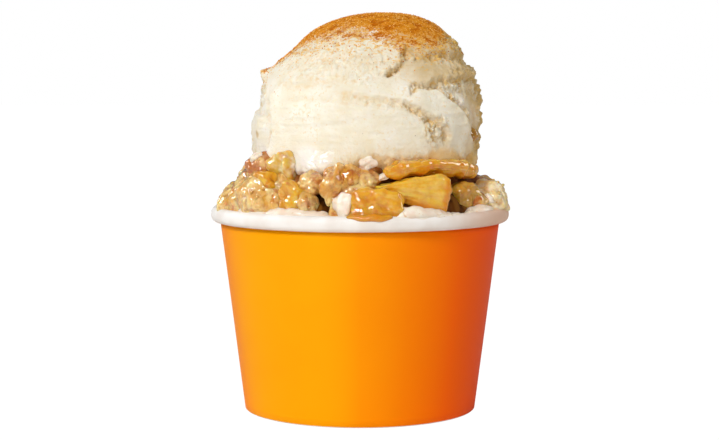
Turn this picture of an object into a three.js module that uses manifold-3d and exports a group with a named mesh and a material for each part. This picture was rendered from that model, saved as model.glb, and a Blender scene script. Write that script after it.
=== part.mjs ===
// An apple cobbler served in a paper cup: stewed apple and pieces of browned crust heaped over the rim,
// with one large scoop of vanilla ice cream on top and melted ice cream pooled along the lip.
// Millimetres, +Z up, the cup stands on z = 0 with its axis on the origin, and its front faces -Y.

import * as THREE from "three";
import { ImprovedNoise } from "three/addons/math/ImprovedNoise.js";
import { mergeVertices } from "three/addons/utils/BufferGeometryUtils.js";
import Module from "manifold-3d";

const wasm = await Module();
wasm.setup();

// The cup's driving sizes.
const RIM_DIAMETER = 96.4;
const CUP_HEIGHT = 65.4;
const FOOT_DIAMETER = 74.2;
const BOARD = 0.6;
const LIP_HEIGHT = 4.8;
const LIP_WIDTH = 3.9;
const FOOT_FOLD_HEIGHT = 5;
const FOOT_FOLD_WIDTH = 1.9;
const CUP_SIDES = 44;
const LIP_SIDES = 8;

// How the cup is filled.
const CLEARANCE = 0.3;
const FILL_EDGE_HEIGHT = 60.5;
const HEAP_HEIGHT = 73;
const HEAP_STEEPNESS = 2.6;
const HEAP_FLAT_RADIUS = 24;
const HEAP_RINGS = 5;

// Melted ice cream lies in a ring against the lip. It is pushed out and up where more of it has run down.
const MELTED_RING = { radius: 41.6, height: 62.3, width: 4.8, depth: 4.2, sides: 5, steps: 30 };
const MELTED_SWELL = { share: 0.2, apart: 9, seed: 5 };
const SPILLS = [
  { bearing: -68, spread: 20, outwards: 2.8, upwards: 2.8, widening: 1.8 },
  { bearing: -124, spread: 19, outwards: 1.7, upwards: 2.3, widening: 0.8 },
  { bearing: 104, spread: 22, outwards: 2.4, upwards: 2.6, widening: 1.4 },
  { bearing: 28, spread: 14, outwards: 1.4, upwards: 2.2, widening: 0.6 },
];

// The scoop of ice cream: a dome over a squarer skirt, leaning to the right at its top.
const SCOOP = { x: 2.3, y: 0.5, z: 88.2 };
const SCOOP_RADIUS = 36.8;
const SCOOP_RISE = 38.8;
const SCOOP_SKIRT_DEPTH = 17.5;
const DOME_SQUARENESS = 2.3;
const SKIRT_SQUARENESS = 3.2;
const SCOOP_LEAN = 4.4;
const LEAN_CURVE = 1.6;
const MELTING_HEIGHT = 84;
const MELTING_DEPTH = 10;
const SCOOP_DETAIL = 8;

// How square the cut edges of the apple are: 2 would be round.
const APPLE_SQUARENESS = 4;

const LIP_RADIUS = RIM_DIAMETER / 2 - LIP_WIDTH / 2;
const LIP_MIDDLE = CUP_HEIGHT - LIP_HEIGHT / 2;
const WALL_TOP = CUP_HEIGHT - LIP_HEIGHT;
const WALL_TOP_RADIUS = RIM_DIAMETER / 2 - LIP_WIDTH + BOARD;
const FOOT_RADIUS = FOOT_DIAMETER / 2;

// Corners that a cut leaves this close to an edge or a face are merged into it.
const SLIVER = 0.12;

const noise = new ImprovedNoise();

// A smooth uneven value from -1 to 1 at a point, whose bumps are about `size` across.
function uneven(point, size, seed) {
  return noise.noise(point.x / size + seed, point.y / size + 1.7 * seed, point.z / size - seed);
}

// The outside radius of the cup's wall at a height.
function wallRadius(height) {
  return FOOT_RADIUS + ((WALL_TOP_RADIUS - FOOT_RADIUS) * height) / WALL_TOP;
}

// A geometry reduced to positions, with the corners that its faces share merged.
function welded(geometry) {
  const bare = new THREE.BufferGeometry();
  bare.setAttribute("position", geometry.getAttribute("position").clone());
  if (geometry.index) bare.setIndex(geometry.index.clone());
  return mergeVertices(bare, 1e-3);
}

// Moves each corner of a geometry by a function of its place.
function moulded(geometry, move) {
  const shape = welded(geometry);
  const position = shape.getAttribute("position");
  const point = new THREE.Vector3();
  for (let i = 0; i < position.count; i++) {
    point.fromBufferAttribute(position, i);
    move(point);
    position.setXYZ(i, point.x, point.y, point.z);
  }
  return shape;
}

// The same geometry with its surface moved out by the clearance.
function grown(geometry) {
  const shape = welded(geometry);
  shape.computeVertexNormals();
  const position = shape.getAttribute("position");
  const normal = shape.getAttribute("normal");
  for (let i = 0; i < position.count; i++) {
    position.setXYZ(
      i,
      position.getX(i) + CLEARANCE * normal.getX(i),
      position.getY(i) + CLEARANCE * normal.getY(i),
      position.getZ(i) + CLEARANCE * normal.getZ(i),
    );
  }
  return shape;
}

// A closed geometry as a solid that can be cut and joined.
function solidOf(geometry) {
  const shape = welded(geometry);
  return new wasm.Manifold(
    new wasm.Mesh({
      numProp: 3,
      vertProperties: new Float32Array(shape.getAttribute("position").array),
      triVerts: new Uint32Array(shape.index.array),
    }),
  );
}

// The largest piece of a solid as a geometry: scraps and slivers that a cut leaves are dropped.
function geometryOf(solid) {
  const pieces = solid.decompose();
  const largest = pieces.reduce((a, b) => (b.volume() > a.volume() ? b : a));
  const mesh = largest.simplify(SLIVER).getMesh();
  const geometry = new THREE.BufferGeometry();
  geometry.setAttribute("position", new THREE.BufferAttribute(new Float32Array(mesh.vertProperties), 3));
  geometry.setIndex(new THREE.BufferAttribute(new Uint32Array(mesh.triVerts), 1));
  return geometry;
}

// A profile of [radius, height] pairs turned about +Z.
function turned(profile) {
  const points = profile.map(([radius, height]) => new THREE.Vector2(radius, height));
  return new THREE.LatheGeometry(points, CUP_SIDES).rotateX(Math.PI / 2);
}

// The rolled lip's section, from where the wall meets it, out and over to its inside.
function lipArc(clearance) {
  const from = -Math.PI * 0.78;
  const to = Math.PI * 1.03;
  return Array.from({ length: LIP_SIDES + 1 }, (_, i) => {
    const angle = from + ((to - from) * i) / LIP_SIDES;
    return [
      LIP_RADIUS + (LIP_WIDTH / 2 + clearance) * Math.cos(angle),
      LIP_MIDDLE + (LIP_HEIGHT / 2 + clearance) * Math.sin(angle),
    ];
  });
}

// The wall is one board: folded in at the foot, where it carries the base, and rolled out into the lip.
// A clearance grows the lip and the wall, for cutting what lies against them.
function cupGeometry(clearance = 0) {
  const foldRadius = FOOT_RADIUS - FOOT_FOLD_WIDTH;
  const insideAt = (height) => wallRadius(height) - BOARD - clearance;
  return turned([
    [FOOT_RADIUS, 0],
    [WALL_TOP_RADIUS, WALL_TOP],
    ...lipArc(clearance),
    [insideAt(WALL_TOP - 2), WALL_TOP - 2],
    [insideAt(FOOT_FOLD_HEIGHT), FOOT_FOLD_HEIGHT],
    [foldRadius, FOOT_FOLD_HEIGHT],
    [foldRadius, 0],
    [FOOT_RADIUS, 0],
  ]);
}

// The base is a flat disc of board that lies on the wall's fold.
function baseGeometry() {
  const underside = FOOT_FOLD_HEIGHT + CLEARANCE / 2;
  const radius = wallRadius(underside) - BOARD - CLEARANCE / 2;
  return turned([
    [0, underside],
    [radius, underside],
    [radius, underside + BOARD],
    [0, underside + BOARD],
  ]);
}

// The stewed filling takes the cup's inside and rises in uneven slopes to the flat that carries the scoop.
function fillingGeometry() {
  const bottom = FOOT_FOLD_HEIGHT + BOARD + 1.5 * CLEARANCE;
  const insideAt = (height) => wallRadius(height) - BOARD - CLEARANCE;
  const edge = insideAt(FILL_EDGE_HEIGHT);
  const rings = Array.from({ length: HEAP_RINGS + 1 }, (_, i) => {
    const share = i / HEAP_RINGS;
    const rise = 1 - (1 - share) ** HEAP_STEEPNESS;
    return [
      edge + (HEAP_FLAT_RADIUS - edge) * share,
      FILL_EDGE_HEIGHT + (HEAP_HEIGHT - FILL_EDGE_HEIGHT) * rise,
    ];
  });
  const heap = turned([[0, bottom], [insideAt(bottom), bottom], ...rings, [0, HEAP_HEIGHT]]);
  return moulded(heap, (point) => {
    const radius = Math.hypot(point.x, point.y);
    const slope = THREE.MathUtils.clamp(Math.min(edge - radius, radius - HEAP_FLAT_RADIUS) / 4, 0, 1);
    const bumps = 1.6 * uneven(point, 9, 3) + 0.7 * uneven(point, 4, 8);
    if (point.z > FILL_EDGE_HEIGHT) point.z += slope * bumps;
  });
}

// How much a spill acts at a bearing in radians: 1 in its middle and 0 far from it.
function spillAt(spill, bearing) {
  return Math.exp(-(((THREE.MathUtils.radToDeg(bearing) - spill.bearing) / spill.spread) ** 2));
}

// Melted ice cream is a ring in the corner between the filling and the lip, and it laps over the lip
// at the front right, where the most has melted.
function meltedCreamGeometry() {
  const ring = new THREE.TorusGeometry(1, 0.5, MELTED_RING.sides, MELTED_RING.steps);
  return moulded(ring, (point) => {
    const bearing = Math.atan2(point.y, point.x);
    const across = (Math.hypot(point.x, point.y) - 1) / 0.5;
    const up = point.z / 0.5;
    const round = new THREE.Vector3(Math.cos(bearing), Math.sin(bearing), 0);
    const place = round.clone().multiplyScalar(MELTED_RING.radius);
    const swell = 1 + MELTED_SWELL.share * uneven(place, MELTED_SWELL.apart, MELTED_SWELL.seed);
    const spilt = (key) => SPILLS.reduce((sum, spill) => sum + spill[key] * spillAt(spill, bearing), 0);
    const halfWidth = (MELTED_RING.width + spilt("widening")) / 2;
    const radius = MELTED_RING.radius + spilt("outwards") + across * halfWidth * swell;
    point.copy(round.multiplyScalar(radius));
    point.z = MELTED_RING.height + spilt("upwards") + (up * MELTED_RING.depth * swell) / 2;
  });
}

// A cut piece of apple: x runs along it, z from the core's side out to the skin's, and y through it.
// `bend` arches it, `taper` narrows both ends, `fan` widens the right end and narrows the left, and
// `waist` narrows the middle.
function appleGeometry({ length, width, thickness, bend = 0.15, taper = 0.2, fan = 0, waist = 0, seed }) {
  const block = new THREE.BoxGeometry(2, 2, 2, 6, 2, 3);
  return moulded(block, (point) => {
    const powers = Math.abs(point.x) ** APPLE_SQUARENESS + Math.abs(point.y) ** APPLE_SQUARENESS;
    point.divideScalar((powers + Math.abs(point.z) ** APPLE_SQUARENESS) ** (1 / APPLE_SQUARENESS));
    const along = point.x;
    const ends = along * along;
    const full = (1 - taper * ends) * (1 + fan * along) * (1 - waist * (1 - ends));
    const through = point.y * (0.75 + 0.25 * point.z) * (1 - 0.5 * taper * ends);
    const across = point.z * full - bend * (ends - 0.3);
    point.set((along * length) / 2, (through * thickness) / 2, (across * width) / 2);
    point.x += 0.5 * uneven(point, 6, seed);
    point.y += 0.5 * uneven(point, 5, seed + 4);
    point.z += 0.5 * uneven(point, 6, seed + 9);
  });
}

// A lump of browned crust: an uneven ball with crags.
function crustGeometry({ length, width, thickness, detail = 2, seed }) {
  const ball = new THREE.IcosahedronGeometry(1, detail);
  return moulded(ball, (point) => {
    const crags = 1.04 + 0.22 * uneven(point, 0.62, seed) + 0.12 * uneven(point, 0.3, seed + 6);
    point.multiplyScalar(crags);
    point.set((point.x * length) / 2, (point.y * thickness) / 2, (point.z * width) / 2);
  });
}

// Sets a piece in the heap: `bearing` goes round the cup from +X, and `reach` out from its axis.
// The piece faces outwards, and is then turned about its own upright, tipped out and rolled sideways.
function placed(geometry, { bearing, reach, height, turn = 0, tip = 0, roll = 0 }) {
  const angle = THREE.MathUtils.degToRad(bearing);
  const euler = new THREE.Euler(
    THREE.MathUtils.degToRad(tip),
    THREE.MathUtils.degToRad(roll),
    THREE.MathUtils.degToRad(turn),
    "ZXY",
  );
  const matrix = new THREE.Matrix4()
    .makeTranslation(reach * Math.cos(angle), reach * Math.sin(angle), height)
    .multiply(new THREE.Matrix4().makeRotationZ(angle + Math.PI / 2))
    .multiply(new THREE.Matrix4().makeRotationFromEuler(euler));
  return geometry.applyMatrix4(matrix);
}

// The apple pieces, from the front round by the left, then from the right side round by the back.
const APPLES = [
  { name: "apple_slab_front", length: 15.8, width: 10.8, thickness: 8.6, bend: 0.05, taper: 0.05,
    bearing: -83.6, reach: 40.9, height: 67.9, roll: 2, tip: -20 },
  { name: "apple_wedge_front", length: 24, width: 8.8, thickness: 9.6, bend: 0, taper: 0.05, fan: 0.75,
    bearing: -66.2, reach: 38.8, height: 71.7, roll: 6.5, turn: -4, tip: -6 },
  { name: "apple_strip_under_scoop", length: 37, width: 7.6, thickness: 10.4, bend: 0.5, taper: 0.1,
    waist: 0.4, bearing: -51.5, reach: 35.2, height: 78.4, roll: -2, turn: 2 },
  { name: "apple_chunk_left", length: 9, width: 9, thickness: 10, bend: 0.1,
    bearing: -119.8, reach: 40.8, height: 69.8, roll: 12, tip: -10 },
  { name: "apple_chunk_folded", length: 12, width: 7, thickness: 11, bend: 0.3,
    bearing: -139.2, reach: 38.2, height: 73.4, roll: 14 },
  { name: "apple_chunk_upper_left", length: 9.8, width: 8.4, thickness: 11, bend: 0.1,
    bearing: -130.2, reach: 36.2, height: 79.8, roll: 8, turn: 20 },
  { name: "apple_slice_right", length: 9, width: 10, thickness: 10, bend: 0.2,
    bearing: -33.8, reach: 37.6, height: 68.4, roll: 14, turn: -12 },
  { name: "apple_chunk_right_side", length: 19, width: 10, thickness: 12, bend: 0.2, taper: 0.3,
    bearing: 12, reach: 39.4, height: 68.8, roll: -5, turn: 6 },
  { name: "apple_slice_right_side", length: 22, width: 7, thickness: 12, bend: 0.4,
    bearing: 23, reach: 35, height: 74.6, roll: 8, turn: 4 },
  { name: "apple_wedge_back_right", length: 21, width: 11.5, thickness: 11, bend: 0.15, fan: 0.3,
    bearing: 64, reach: 39, height: 69.6, roll: 8, turn: -6 },
  { name: "apple_strip_back", length: 31, width: 7.6, thickness: 12, bend: 0.5, waist: 0.25,
    bearing: 86, reach: 35.6, height: 77.6, roll: 5, turn: 4 },
  { name: "apple_wedge_back_left", length: 22, width: 12, thickness: 11, bend: 0.1, fan: -0.35,
    bearing: 117, reach: 39, height: 69.8, roll: 7, tip: -8 },
  { name: "apple_chunk_left_side", length: 22, width: 10, thickness: 12, bend: 0.2, taper: 0.3,
    bearing: 169, reach: 39.2, height: 69, roll: -8, turn: 4 },
];

// The pieces of crust, in the same order.
const CRUSTS = [
  { name: "crust_lump_right", length: 13, width: 10.6, thickness: 12,
    bearing: -13.6, reach: 41, height: 68, roll: 8 },
  { name: "crust_crumb_centre", length: 7.4, width: 5.4, thickness: 9, detail: 1,
    bearing: -86.5, reach: 36.6, height: 75.6 },
  { name: "crust_nugget_syrupy", length: 6.6, width: 6.8, thickness: 9, detail: 1,
    bearing: -95.2, reach: 37.2, height: 76.4 },
  { name: "crust_lump_centre", length: 8.2, width: 12.4, thickness: 10,
    bearing: -103.6, reach: 38.8, height: 74, roll: 12 },
  { name: "crust_crumb_upper", length: 5.6, width: 7.4, thickness: 8, detail: 1,
    bearing: -112.7, reach: 39, height: 73.8 },
  { name: "crust_crumb_front", length: 5.8, width: 6.8, thickness: 7, detail: 1,
    bearing: -110.3, reach: 41.6, height: 68.2 },
  { name: "crust_lump_left", length: 13, width: 12, thickness: 13,
    bearing: -140, reach: 40.4, height: 69.2, roll: -10 },
  { name: "crust_lump_left_outer", length: 13.4, width: 10.4, thickness: 12,
    bearing: -161.5, reach: 41, height: 68.4, roll: -14 },
  { name: "crust_lump_upper_left", length: 8, width: 7, thickness: 10,
    bearing: -146, reach: 36.4, height: 78.6, roll: -12 },
  { name: "crust_lump_left_back", length: 14, width: 8.5, thickness: 11,
    bearing: 179, reach: 35, height: 74, roll: 5 },
  { name: "crust_lump_back_left", length: 18, width: 11.5, thickness: 12,
    bearing: 143.5, reach: 40.2, height: 68.8, roll: -5 },
  { name: "crust_lump_upper_back", length: 15, width: 9.5, thickness: 12,
    bearing: 122, reach: 35.8, height: 77.2, roll: 10 },
  { name: "crust_lump_high_left_back", length: 13, width: 9, thickness: 11,
    bearing: 150, reach: 36, height: 76.4, roll: -14 },
  { name: "crust_lump_back", length: 15, width: 11.5, thickness: 12,
    bearing: 90, reach: 40.2, height: 68.4, roll: 4 },
  { name: "crust_lump_upper_right", length: 12, width: 9, thickness: 11,
    bearing: 53, reach: 35.8, height: 76.6, roll: -8 },
  { name: "crust_lump_right_back", length: 15, width: 11, thickness: 12,
    bearing: 38, reach: 40.4, height: 68.2, roll: -6 },
  { name: "crust_lump_high_right", length: 10, width: 7, thickness: 10,
    bearing: -9, reach: 35, height: 73.6, roll: 10 },
];

// A run of ice cream that has melted down between the crust and the apple at the front.
const CREAM_RUN = { name: "cream_run_front", length: 5.4, width: 9, thickness: 5, detail: 1,
  bearing: -97, reach: 41.6, height: 66.8 };

// The seams where the scoop's layers rolled over each other, as [bearing from the front, height] points.
// `lip` is how far the layer above stands proud of the one below, and it is negative where it lies back.
const SEAMS = [
  { lip: 1, points: [[5, 115.4], [31, 113.8], [75, 114.2], [98, 113.4], [125, 112]] },
  { lip: 0.8, points: [[8, 104.2], [35, 105.4], [66, 106.7], [100, 107]] },
  { lip: -1.1, points: [[12, 98.6], [25, 102.4], [38, 100.9], [51, 95.6], [66, 85]] },
  { lip: 1.2, points: [[2, 99.6], [22, 97.7], [32, 93.5], [41, 89], [54, 83]] },
  { lip: -1.2, points: [[-150, 99], [-118, 97.6], [-90, 96.4], [-74, 95.2], [-48, 93.4]] },
  { lip: 1.7, points: [[118, 94], [150, 97], [178, 95], [200, 98.5], [230, 96]] },
  { lip: 1.5, points: [[150, 112], [195, 110], [230, 111.5], [262, 109.8]] },
];
const SEAM_REACH = 6;
const SEAM_STEP = 1.2;
const SEAM_FADE = 15;

// The torn tips that stand out of the scoop and, with a negative reach, the places where it is cut back.
const TIPS = [
  { bearing: -90, height: 109.5, reach: 3.4, halfWidth: 5, halfHeight: 3 },
  { bearing: 92, height: 114.5, reach: -2.6, halfWidth: 22, halfHeight: 8 },
  { bearing: 90, height: 84, reach: -1.6, halfWidth: 16, halfHeight: 8 },
  { bearing: 168, height: 104, reach: 1.8, halfWidth: 6, halfHeight: 3 },
];

// How far a seam moves the scoop's surface at a bearing from the front and a height.
function seamOffset(seam, bearing, height) {
  const first = seam.points[0][0];
  const last = seam.points[seam.points.length - 1][0];
  const wrapped = [bearing - 360, bearing, bearing + 360].find((b) => b > first && b < last);
  if (wrapped === undefined) return 0;
  const next = seam.points.findIndex(([b]) => b >= wrapped);
  const [b0, h0] = seam.points[next - 1];
  const [b1, h1] = seam.points[next];
  const away = height - (h0 + ((h1 - h0) * (wrapped - b0)) / (b1 - b0));
  const fade = Math.min(1, (wrapped - first) / SEAM_FADE, (last - wrapped) / SEAM_FADE);
  const step = THREE.MathUtils.clamp(away / SEAM_STEP, -0.7, 1);
  return fade * seam.lip * Math.exp(-((away / SEAM_REACH) ** 2)) * step;
}

// How far a torn tip moves the scoop's surface at the same place.
function tipOffset(tip, bearing, height) {
  const turn = THREE.MathUtils.euclideanModulo(bearing - tip.bearing + 180, 360) - 180;
  const sideways = (THREE.MathUtils.degToRad(turn) * SCOOP_RADIUS) / tip.halfWidth;
  const upwards = (height - tip.height) / tip.halfHeight;
  return tip.reach * Math.exp(-(sideways ** 2 + upwards ** 2));
}

// The scoop's skin spreads and grows ragged where it melts on the heap.
function scoopGeometry() {
  const ball = new THREE.IcosahedronGeometry(1, SCOOP_DETAIL);
  return moulded(ball, (point) => {
    const direction = point.clone();
    const level = Math.hypot(point.x, point.y);
    const squareness = point.z < 0 ? SKIRT_SQUARENESS : DOME_SQUARENESS;
    const depth = point.z < 0 ? SCOOP_SKIRT_DEPTH : SCOOP_RISE;
    const powers = (level / SCOOP_RADIUS) ** squareness + (Math.abs(point.z) / depth) ** squareness;
    const radius = powers ** (-1 / squareness);
    const bearing = THREE.MathUtils.radToDeg(Math.atan2(point.x, -point.y));
    const height = SCOOP.z + direction.z * radius;
    const side = THREE.MathUtils.clamp(level * 1.6, 0, 1);
    const seams = SEAMS.reduce((sum, seam) => sum + seamOffset(seam, bearing, height), 0);
    const tips = TIPS.reduce((sum, tip) => sum + tipOffset(tip, bearing, height), 0);
    const soft = 0.9 * uneven(direction, 0.55, 2) + 0.5 * uneven(direction, 0.2, 7);
    const melting = THREE.MathUtils.clamp((MELTING_HEIGHT - height) / MELTING_DEPTH, 0, 1);
    const ragged = melting * (1.3 * uneven(direction, 0.16, 11) + 0.4);
    point.multiplyScalar(radius + side * (seams + tips + ragged) + soft);
    point.x += SCOOP_LEAN * Math.max(0, point.z / SCOOP_RISE) ** LEAN_CURVE;
    point.add(SCOOP);
  });
}

const colours = {
  board: new THREE.Color(0.95, 0.45, 0.02),
  white: new THREE.Color(0.93, 0.92, 0.9),
  filling: new THREE.Color(0.5, 0.24, 0.06),
  apple: new THREE.Color(0.83, 0.52, 0.13),
  crust: new THREE.Color(0.7, 0.42, 0.17),
  cream: new THREE.Color(0.93, 0.87, 0.74),
};

const cobbler = new THREE.Group();

// Adds one named sub-part to the model.
function add(name, geometry, color, roughness) {
  const material = new THREE.MeshStandardMaterial({ color, roughness, metalness: 0 });
  const mesh = new THREE.Mesh(geometry, material);
  mesh.name = name;
  cobbler.add(mesh);
}

const filling = fillingGeometry();
const cupSpace = solidOf(cupGeometry(CLEARANCE));
const fillingSpace = solidOf(grown(filling));
const meltedShape = meltedCreamGeometry();
const melted = geometryOf(solidOf(meltedShape).subtract(cupSpace).subtract(fillingSpace));
add("paper_cup", cupGeometry(), colours.board, 0.5);
add("cup_base", baseGeometry(), colours.white, 0.6);
add("cobbler_filling", filling, colours.filling, 0.3);
add("melted_cream", melted, colours.cream, 0.2);

// Every piece of the heap is cut where it meets what was laid before it.
let taken = cupSpace.add(fillingSpace).add(solidOf(grown(meltedShape)));

// Adds a piece of the heap to the model and to the space that later pieces keep clear of.
function lay(name, shape, color, roughness) {
  add(name, geometryOf(solidOf(shape).subtract(taken)), color, roughness);
  taken = taken.add(solidOf(grown(shape)));
}

APPLES.forEach((row, i) => {
  lay(row.name, placed(appleGeometry({ seed: 20 + 3 * i, ...row }), row), colours.apple, 0.25);
});
CRUSTS.forEach((row, i) => {
  lay(row.name, placed(crustGeometry({ seed: 60 + 5 * i, ...row }), row), colours.crust, 0.6);
});
lay(CREAM_RUN.name, placed(crustGeometry({ seed: 40, ...CREAM_RUN }), CREAM_RUN), colours.cream, 0.3);
lay("ice_cream_scoop", scoopGeometry(), colours.cream, 0.45);

export default cobbler;
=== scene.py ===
"""The looks of an apple cobbler in a paper cup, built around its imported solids.

The cup is a printed paper one with a rolled lip. Stewed apple and browned crust are heaped over the rim,
melted ice cream pools along the lip, and a large scoop of vanilla ice cream dusted with cinnamon sugar sits
on top.
Meshes are modelled in millimetres, in the frame's axes, and are scaled to metres as each piece is finished.
"""

from __future__ import annotations

import logging
import math
import random
import time
from dataclasses import dataclass
from enum import Enum
from functools import cached_property
from typing import Any, Sequence, TypeVar

import bmesh
import bpy
import numpy as np
from mathutils import Euler, Matrix, Vector, noise
from mathutils.bvhtree import BVHTree

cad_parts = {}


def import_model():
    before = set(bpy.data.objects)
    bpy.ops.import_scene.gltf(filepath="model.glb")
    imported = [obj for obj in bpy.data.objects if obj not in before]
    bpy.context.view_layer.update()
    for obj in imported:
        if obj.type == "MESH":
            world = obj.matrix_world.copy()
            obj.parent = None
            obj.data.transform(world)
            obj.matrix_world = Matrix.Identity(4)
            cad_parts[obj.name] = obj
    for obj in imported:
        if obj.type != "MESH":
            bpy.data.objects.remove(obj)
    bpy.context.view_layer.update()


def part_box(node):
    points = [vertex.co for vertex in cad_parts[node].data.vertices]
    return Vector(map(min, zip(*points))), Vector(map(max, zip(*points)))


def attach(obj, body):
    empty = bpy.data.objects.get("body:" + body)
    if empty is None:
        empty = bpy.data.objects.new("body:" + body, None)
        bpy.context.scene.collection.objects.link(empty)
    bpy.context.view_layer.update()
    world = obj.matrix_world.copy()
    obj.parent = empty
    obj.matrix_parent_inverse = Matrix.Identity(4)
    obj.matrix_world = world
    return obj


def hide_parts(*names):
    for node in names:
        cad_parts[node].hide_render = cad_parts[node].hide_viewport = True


MM = 0.001
BODY = "root"
Colour = tuple[float, float, float, float]
Angles = TypeVar("Angles", float, np.ndarray)
# How steeply a soft patch fades at its edge
PATCH_EDGE = 1.7
log = logging.getLogger("cobbler")


class Slot(Enum):
    """The record's material slots."""

    PRINTED_BOARD = "printed_board"
    WHITE_BOARD = "white_board"
    FILLING = "stewed_filling"
    APPLE = "stewed_apple"
    CRUST = "browned_crust"
    ICE_CREAM = "vanilla_ice_cream"
    MELTED = "melted_ice_cream"


def srgb(red: int, green: int, blue: int) -> Colour:
    """Turns a screen colour into a linear one.

    Args:
        red: Red from 0 to 255.
        green: Green from 0 to 255.
        blue: Blue from 0 to 255.

    Returns:
        The linear colour with an alpha of 1.
    """
    shares = [channel / 255 for channel in (red, green, blue)]
    linear = [s / 12.92 if s <= 0.04045 else ((s + 0.055) / 1.055) ** 2.4 for s in shares]
    return (linear[0], linear[1], linear[2], 1.0)


def clamp(value: float, low: float = 0.0, high: float = 1.0) -> float:
    """Holds a value between two limits."""
    return max(low, min(high, value))


def smooth(value: float) -> float:
    """Eases a share from 0 to 1 at both ends."""
    share = clamp(value)
    return share * share * (3 - 2 * share)


def uneven(point: Vector, size: float, seed: float) -> float:
    """A smooth uneven value at a point.

    Args:
        point: The place, in millimetres.
        size: How far apart its bumps are.
        seed: Which pattern it is.

    Returns:
        A value from -1 to 1.
    """
    place = Vector((point.x / size + seed, point.y / size + 1.7 * seed, point.z / size - seed))
    return noise.noise(place)


def crumble(point: Vector, size: float, seed: float) -> float:
    """Rounded crags with sharp creases between them.

    Args:
        point: The place, in millimetres.
        size: How far apart the crags are.
        seed: Which pattern it is.

    Returns:
        From 0 in a crease to about 1 on a crag.
    """
    return min(1.0, 2.2 * abs(uneven(point, size, seed)))


def uneven_all(points: np.ndarray, size: float, seed: float) -> np.ndarray:
    """The uneven value at many points.

    Args:
        points: The places, one row each.
        size: How far apart the bumps are.
        seed: Which pattern it is.

    Returns:
        Values from -1 to 1.
    """
    places = points / size + np.array((seed, 1.7 * seed, -seed))
    return np.fromiter((noise.noise(place) for place in places.tolist()), float, len(points))


def crumble_all(points: np.ndarray, size: float, seed: float) -> np.ndarray:
    """Rounded crags with sharp creases, at many points.

    Args:
        points: The places, one row each.
        size: How far apart the crags are.
        seed: Which pattern it is.

    Returns:
        From 0 in a crease to 1 on a crag.
    """
    return np.minimum(1.0, 2.2 * np.abs(uneven_all(points, size, seed)))


def smooth_all(values: np.ndarray) -> np.ndarray:
    """Eases shares from 0 to 1 at both ends."""
    shares = np.clip(values, 0, 1)
    return shares * shares * (3 - 2 * shares)


def wrapped(degrees: Angles) -> Angles:
    """Turns one angle or many into the range from -180 to 180."""
    return (degrees + 180) % 360 - 180


def wandering(point: Vector, size: float, seed: float) -> Vector:
    """A shift of up to a millimetre each way, which bends a pattern so that it shows no grid."""
    return Vector((uneven(point, size, seed), uneven(point, size, seed + 1), uneven(point, size, seed + 2)))


def times(first: Vector, second: Sequence[float]) -> Vector:
    """Multiplies two vectors axis by axis."""
    return Vector(a * b for a, b in zip(first, second))


def from_axis(point: Vector) -> float:
    """How far a point is from the cup's axis."""
    return math.hypot(point.x, point.y)


def widen(point: Vector, share: float) -> None:
    """Moves a point away from the cup's axis by a share of its distance."""
    point.x *= share
    point.y *= share


def any_turn(chance: random.Random) -> Matrix:
    """A turn about all three axes, picked by chance."""
    return Euler([chance.uniform(0, math.tau) for _ in range(3)]).to_matrix().to_4x4()


class Shade:
    """One output socket of a node, which takes part in Python's arithmetic."""

    def __init__(self, graph: Graph, socket: bpy.types.NodeSocket) -> None:
        """Keeps the socket and the graph that it is in.

        Args:
            graph: The graph that adds the nodes.
            socket: The output socket.
        """
        self.graph = graph
        self.socket = socket

    def _math(self, operation: str, first: Shade | float, second: Shade | float) -> Shade:
        """Adds a Math node.

        Args:
            operation: The node's operation.
            first: Its first value.
            second: Its second value.

        Returns:
            The node's output.
        """
        return self.graph.add("ShaderNodeMath", {"operation": operation}, {0: first, 1: second})

    def __add__(self, other: Shade | float) -> Shade:
        """The sum."""
        return self._math("ADD", self, other)

    __radd__ = __add__

    def __sub__(self, other: Shade | float) -> Shade:
        """The difference."""
        return self._math("SUBTRACT", self, other)

    def __rsub__(self, other: Shade | float) -> Shade:
        """The difference from a number."""
        return self._math("SUBTRACT", other, self)

    def __mul__(self, other: Shade | float) -> Shade:
        """The product."""
        return self._math("MULTIPLY", self, other)

    __rmul__ = __mul__

    def __truediv__(self, other: Shade | float) -> Shade:
        """The quotient."""
        return self._math("DIVIDE", self, other)

    def __pow__(self, other: Shade | float) -> Shade:
        """The power."""
        return self._math("POWER", self, other)

    def smaller(self, other: Shade | float) -> Shade:
        """The smaller of two values."""
        return self._math("MINIMUM", self, other)

    def between(self, low: float, high: float) -> Shade:
        """Eases from 0 at one value to 1 at another.

        Args:
            low: The value that gives 0.
            high: The value that gives 1.

        Returns:
            The eased share.
        """
        settings = {"interpolation_type": "SMOOTHSTEP"}
        values = {"Value": self, "From Min": low, "From Max": high}
        return self.graph.add("ShaderNodeMapRange", settings, values)


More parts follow.
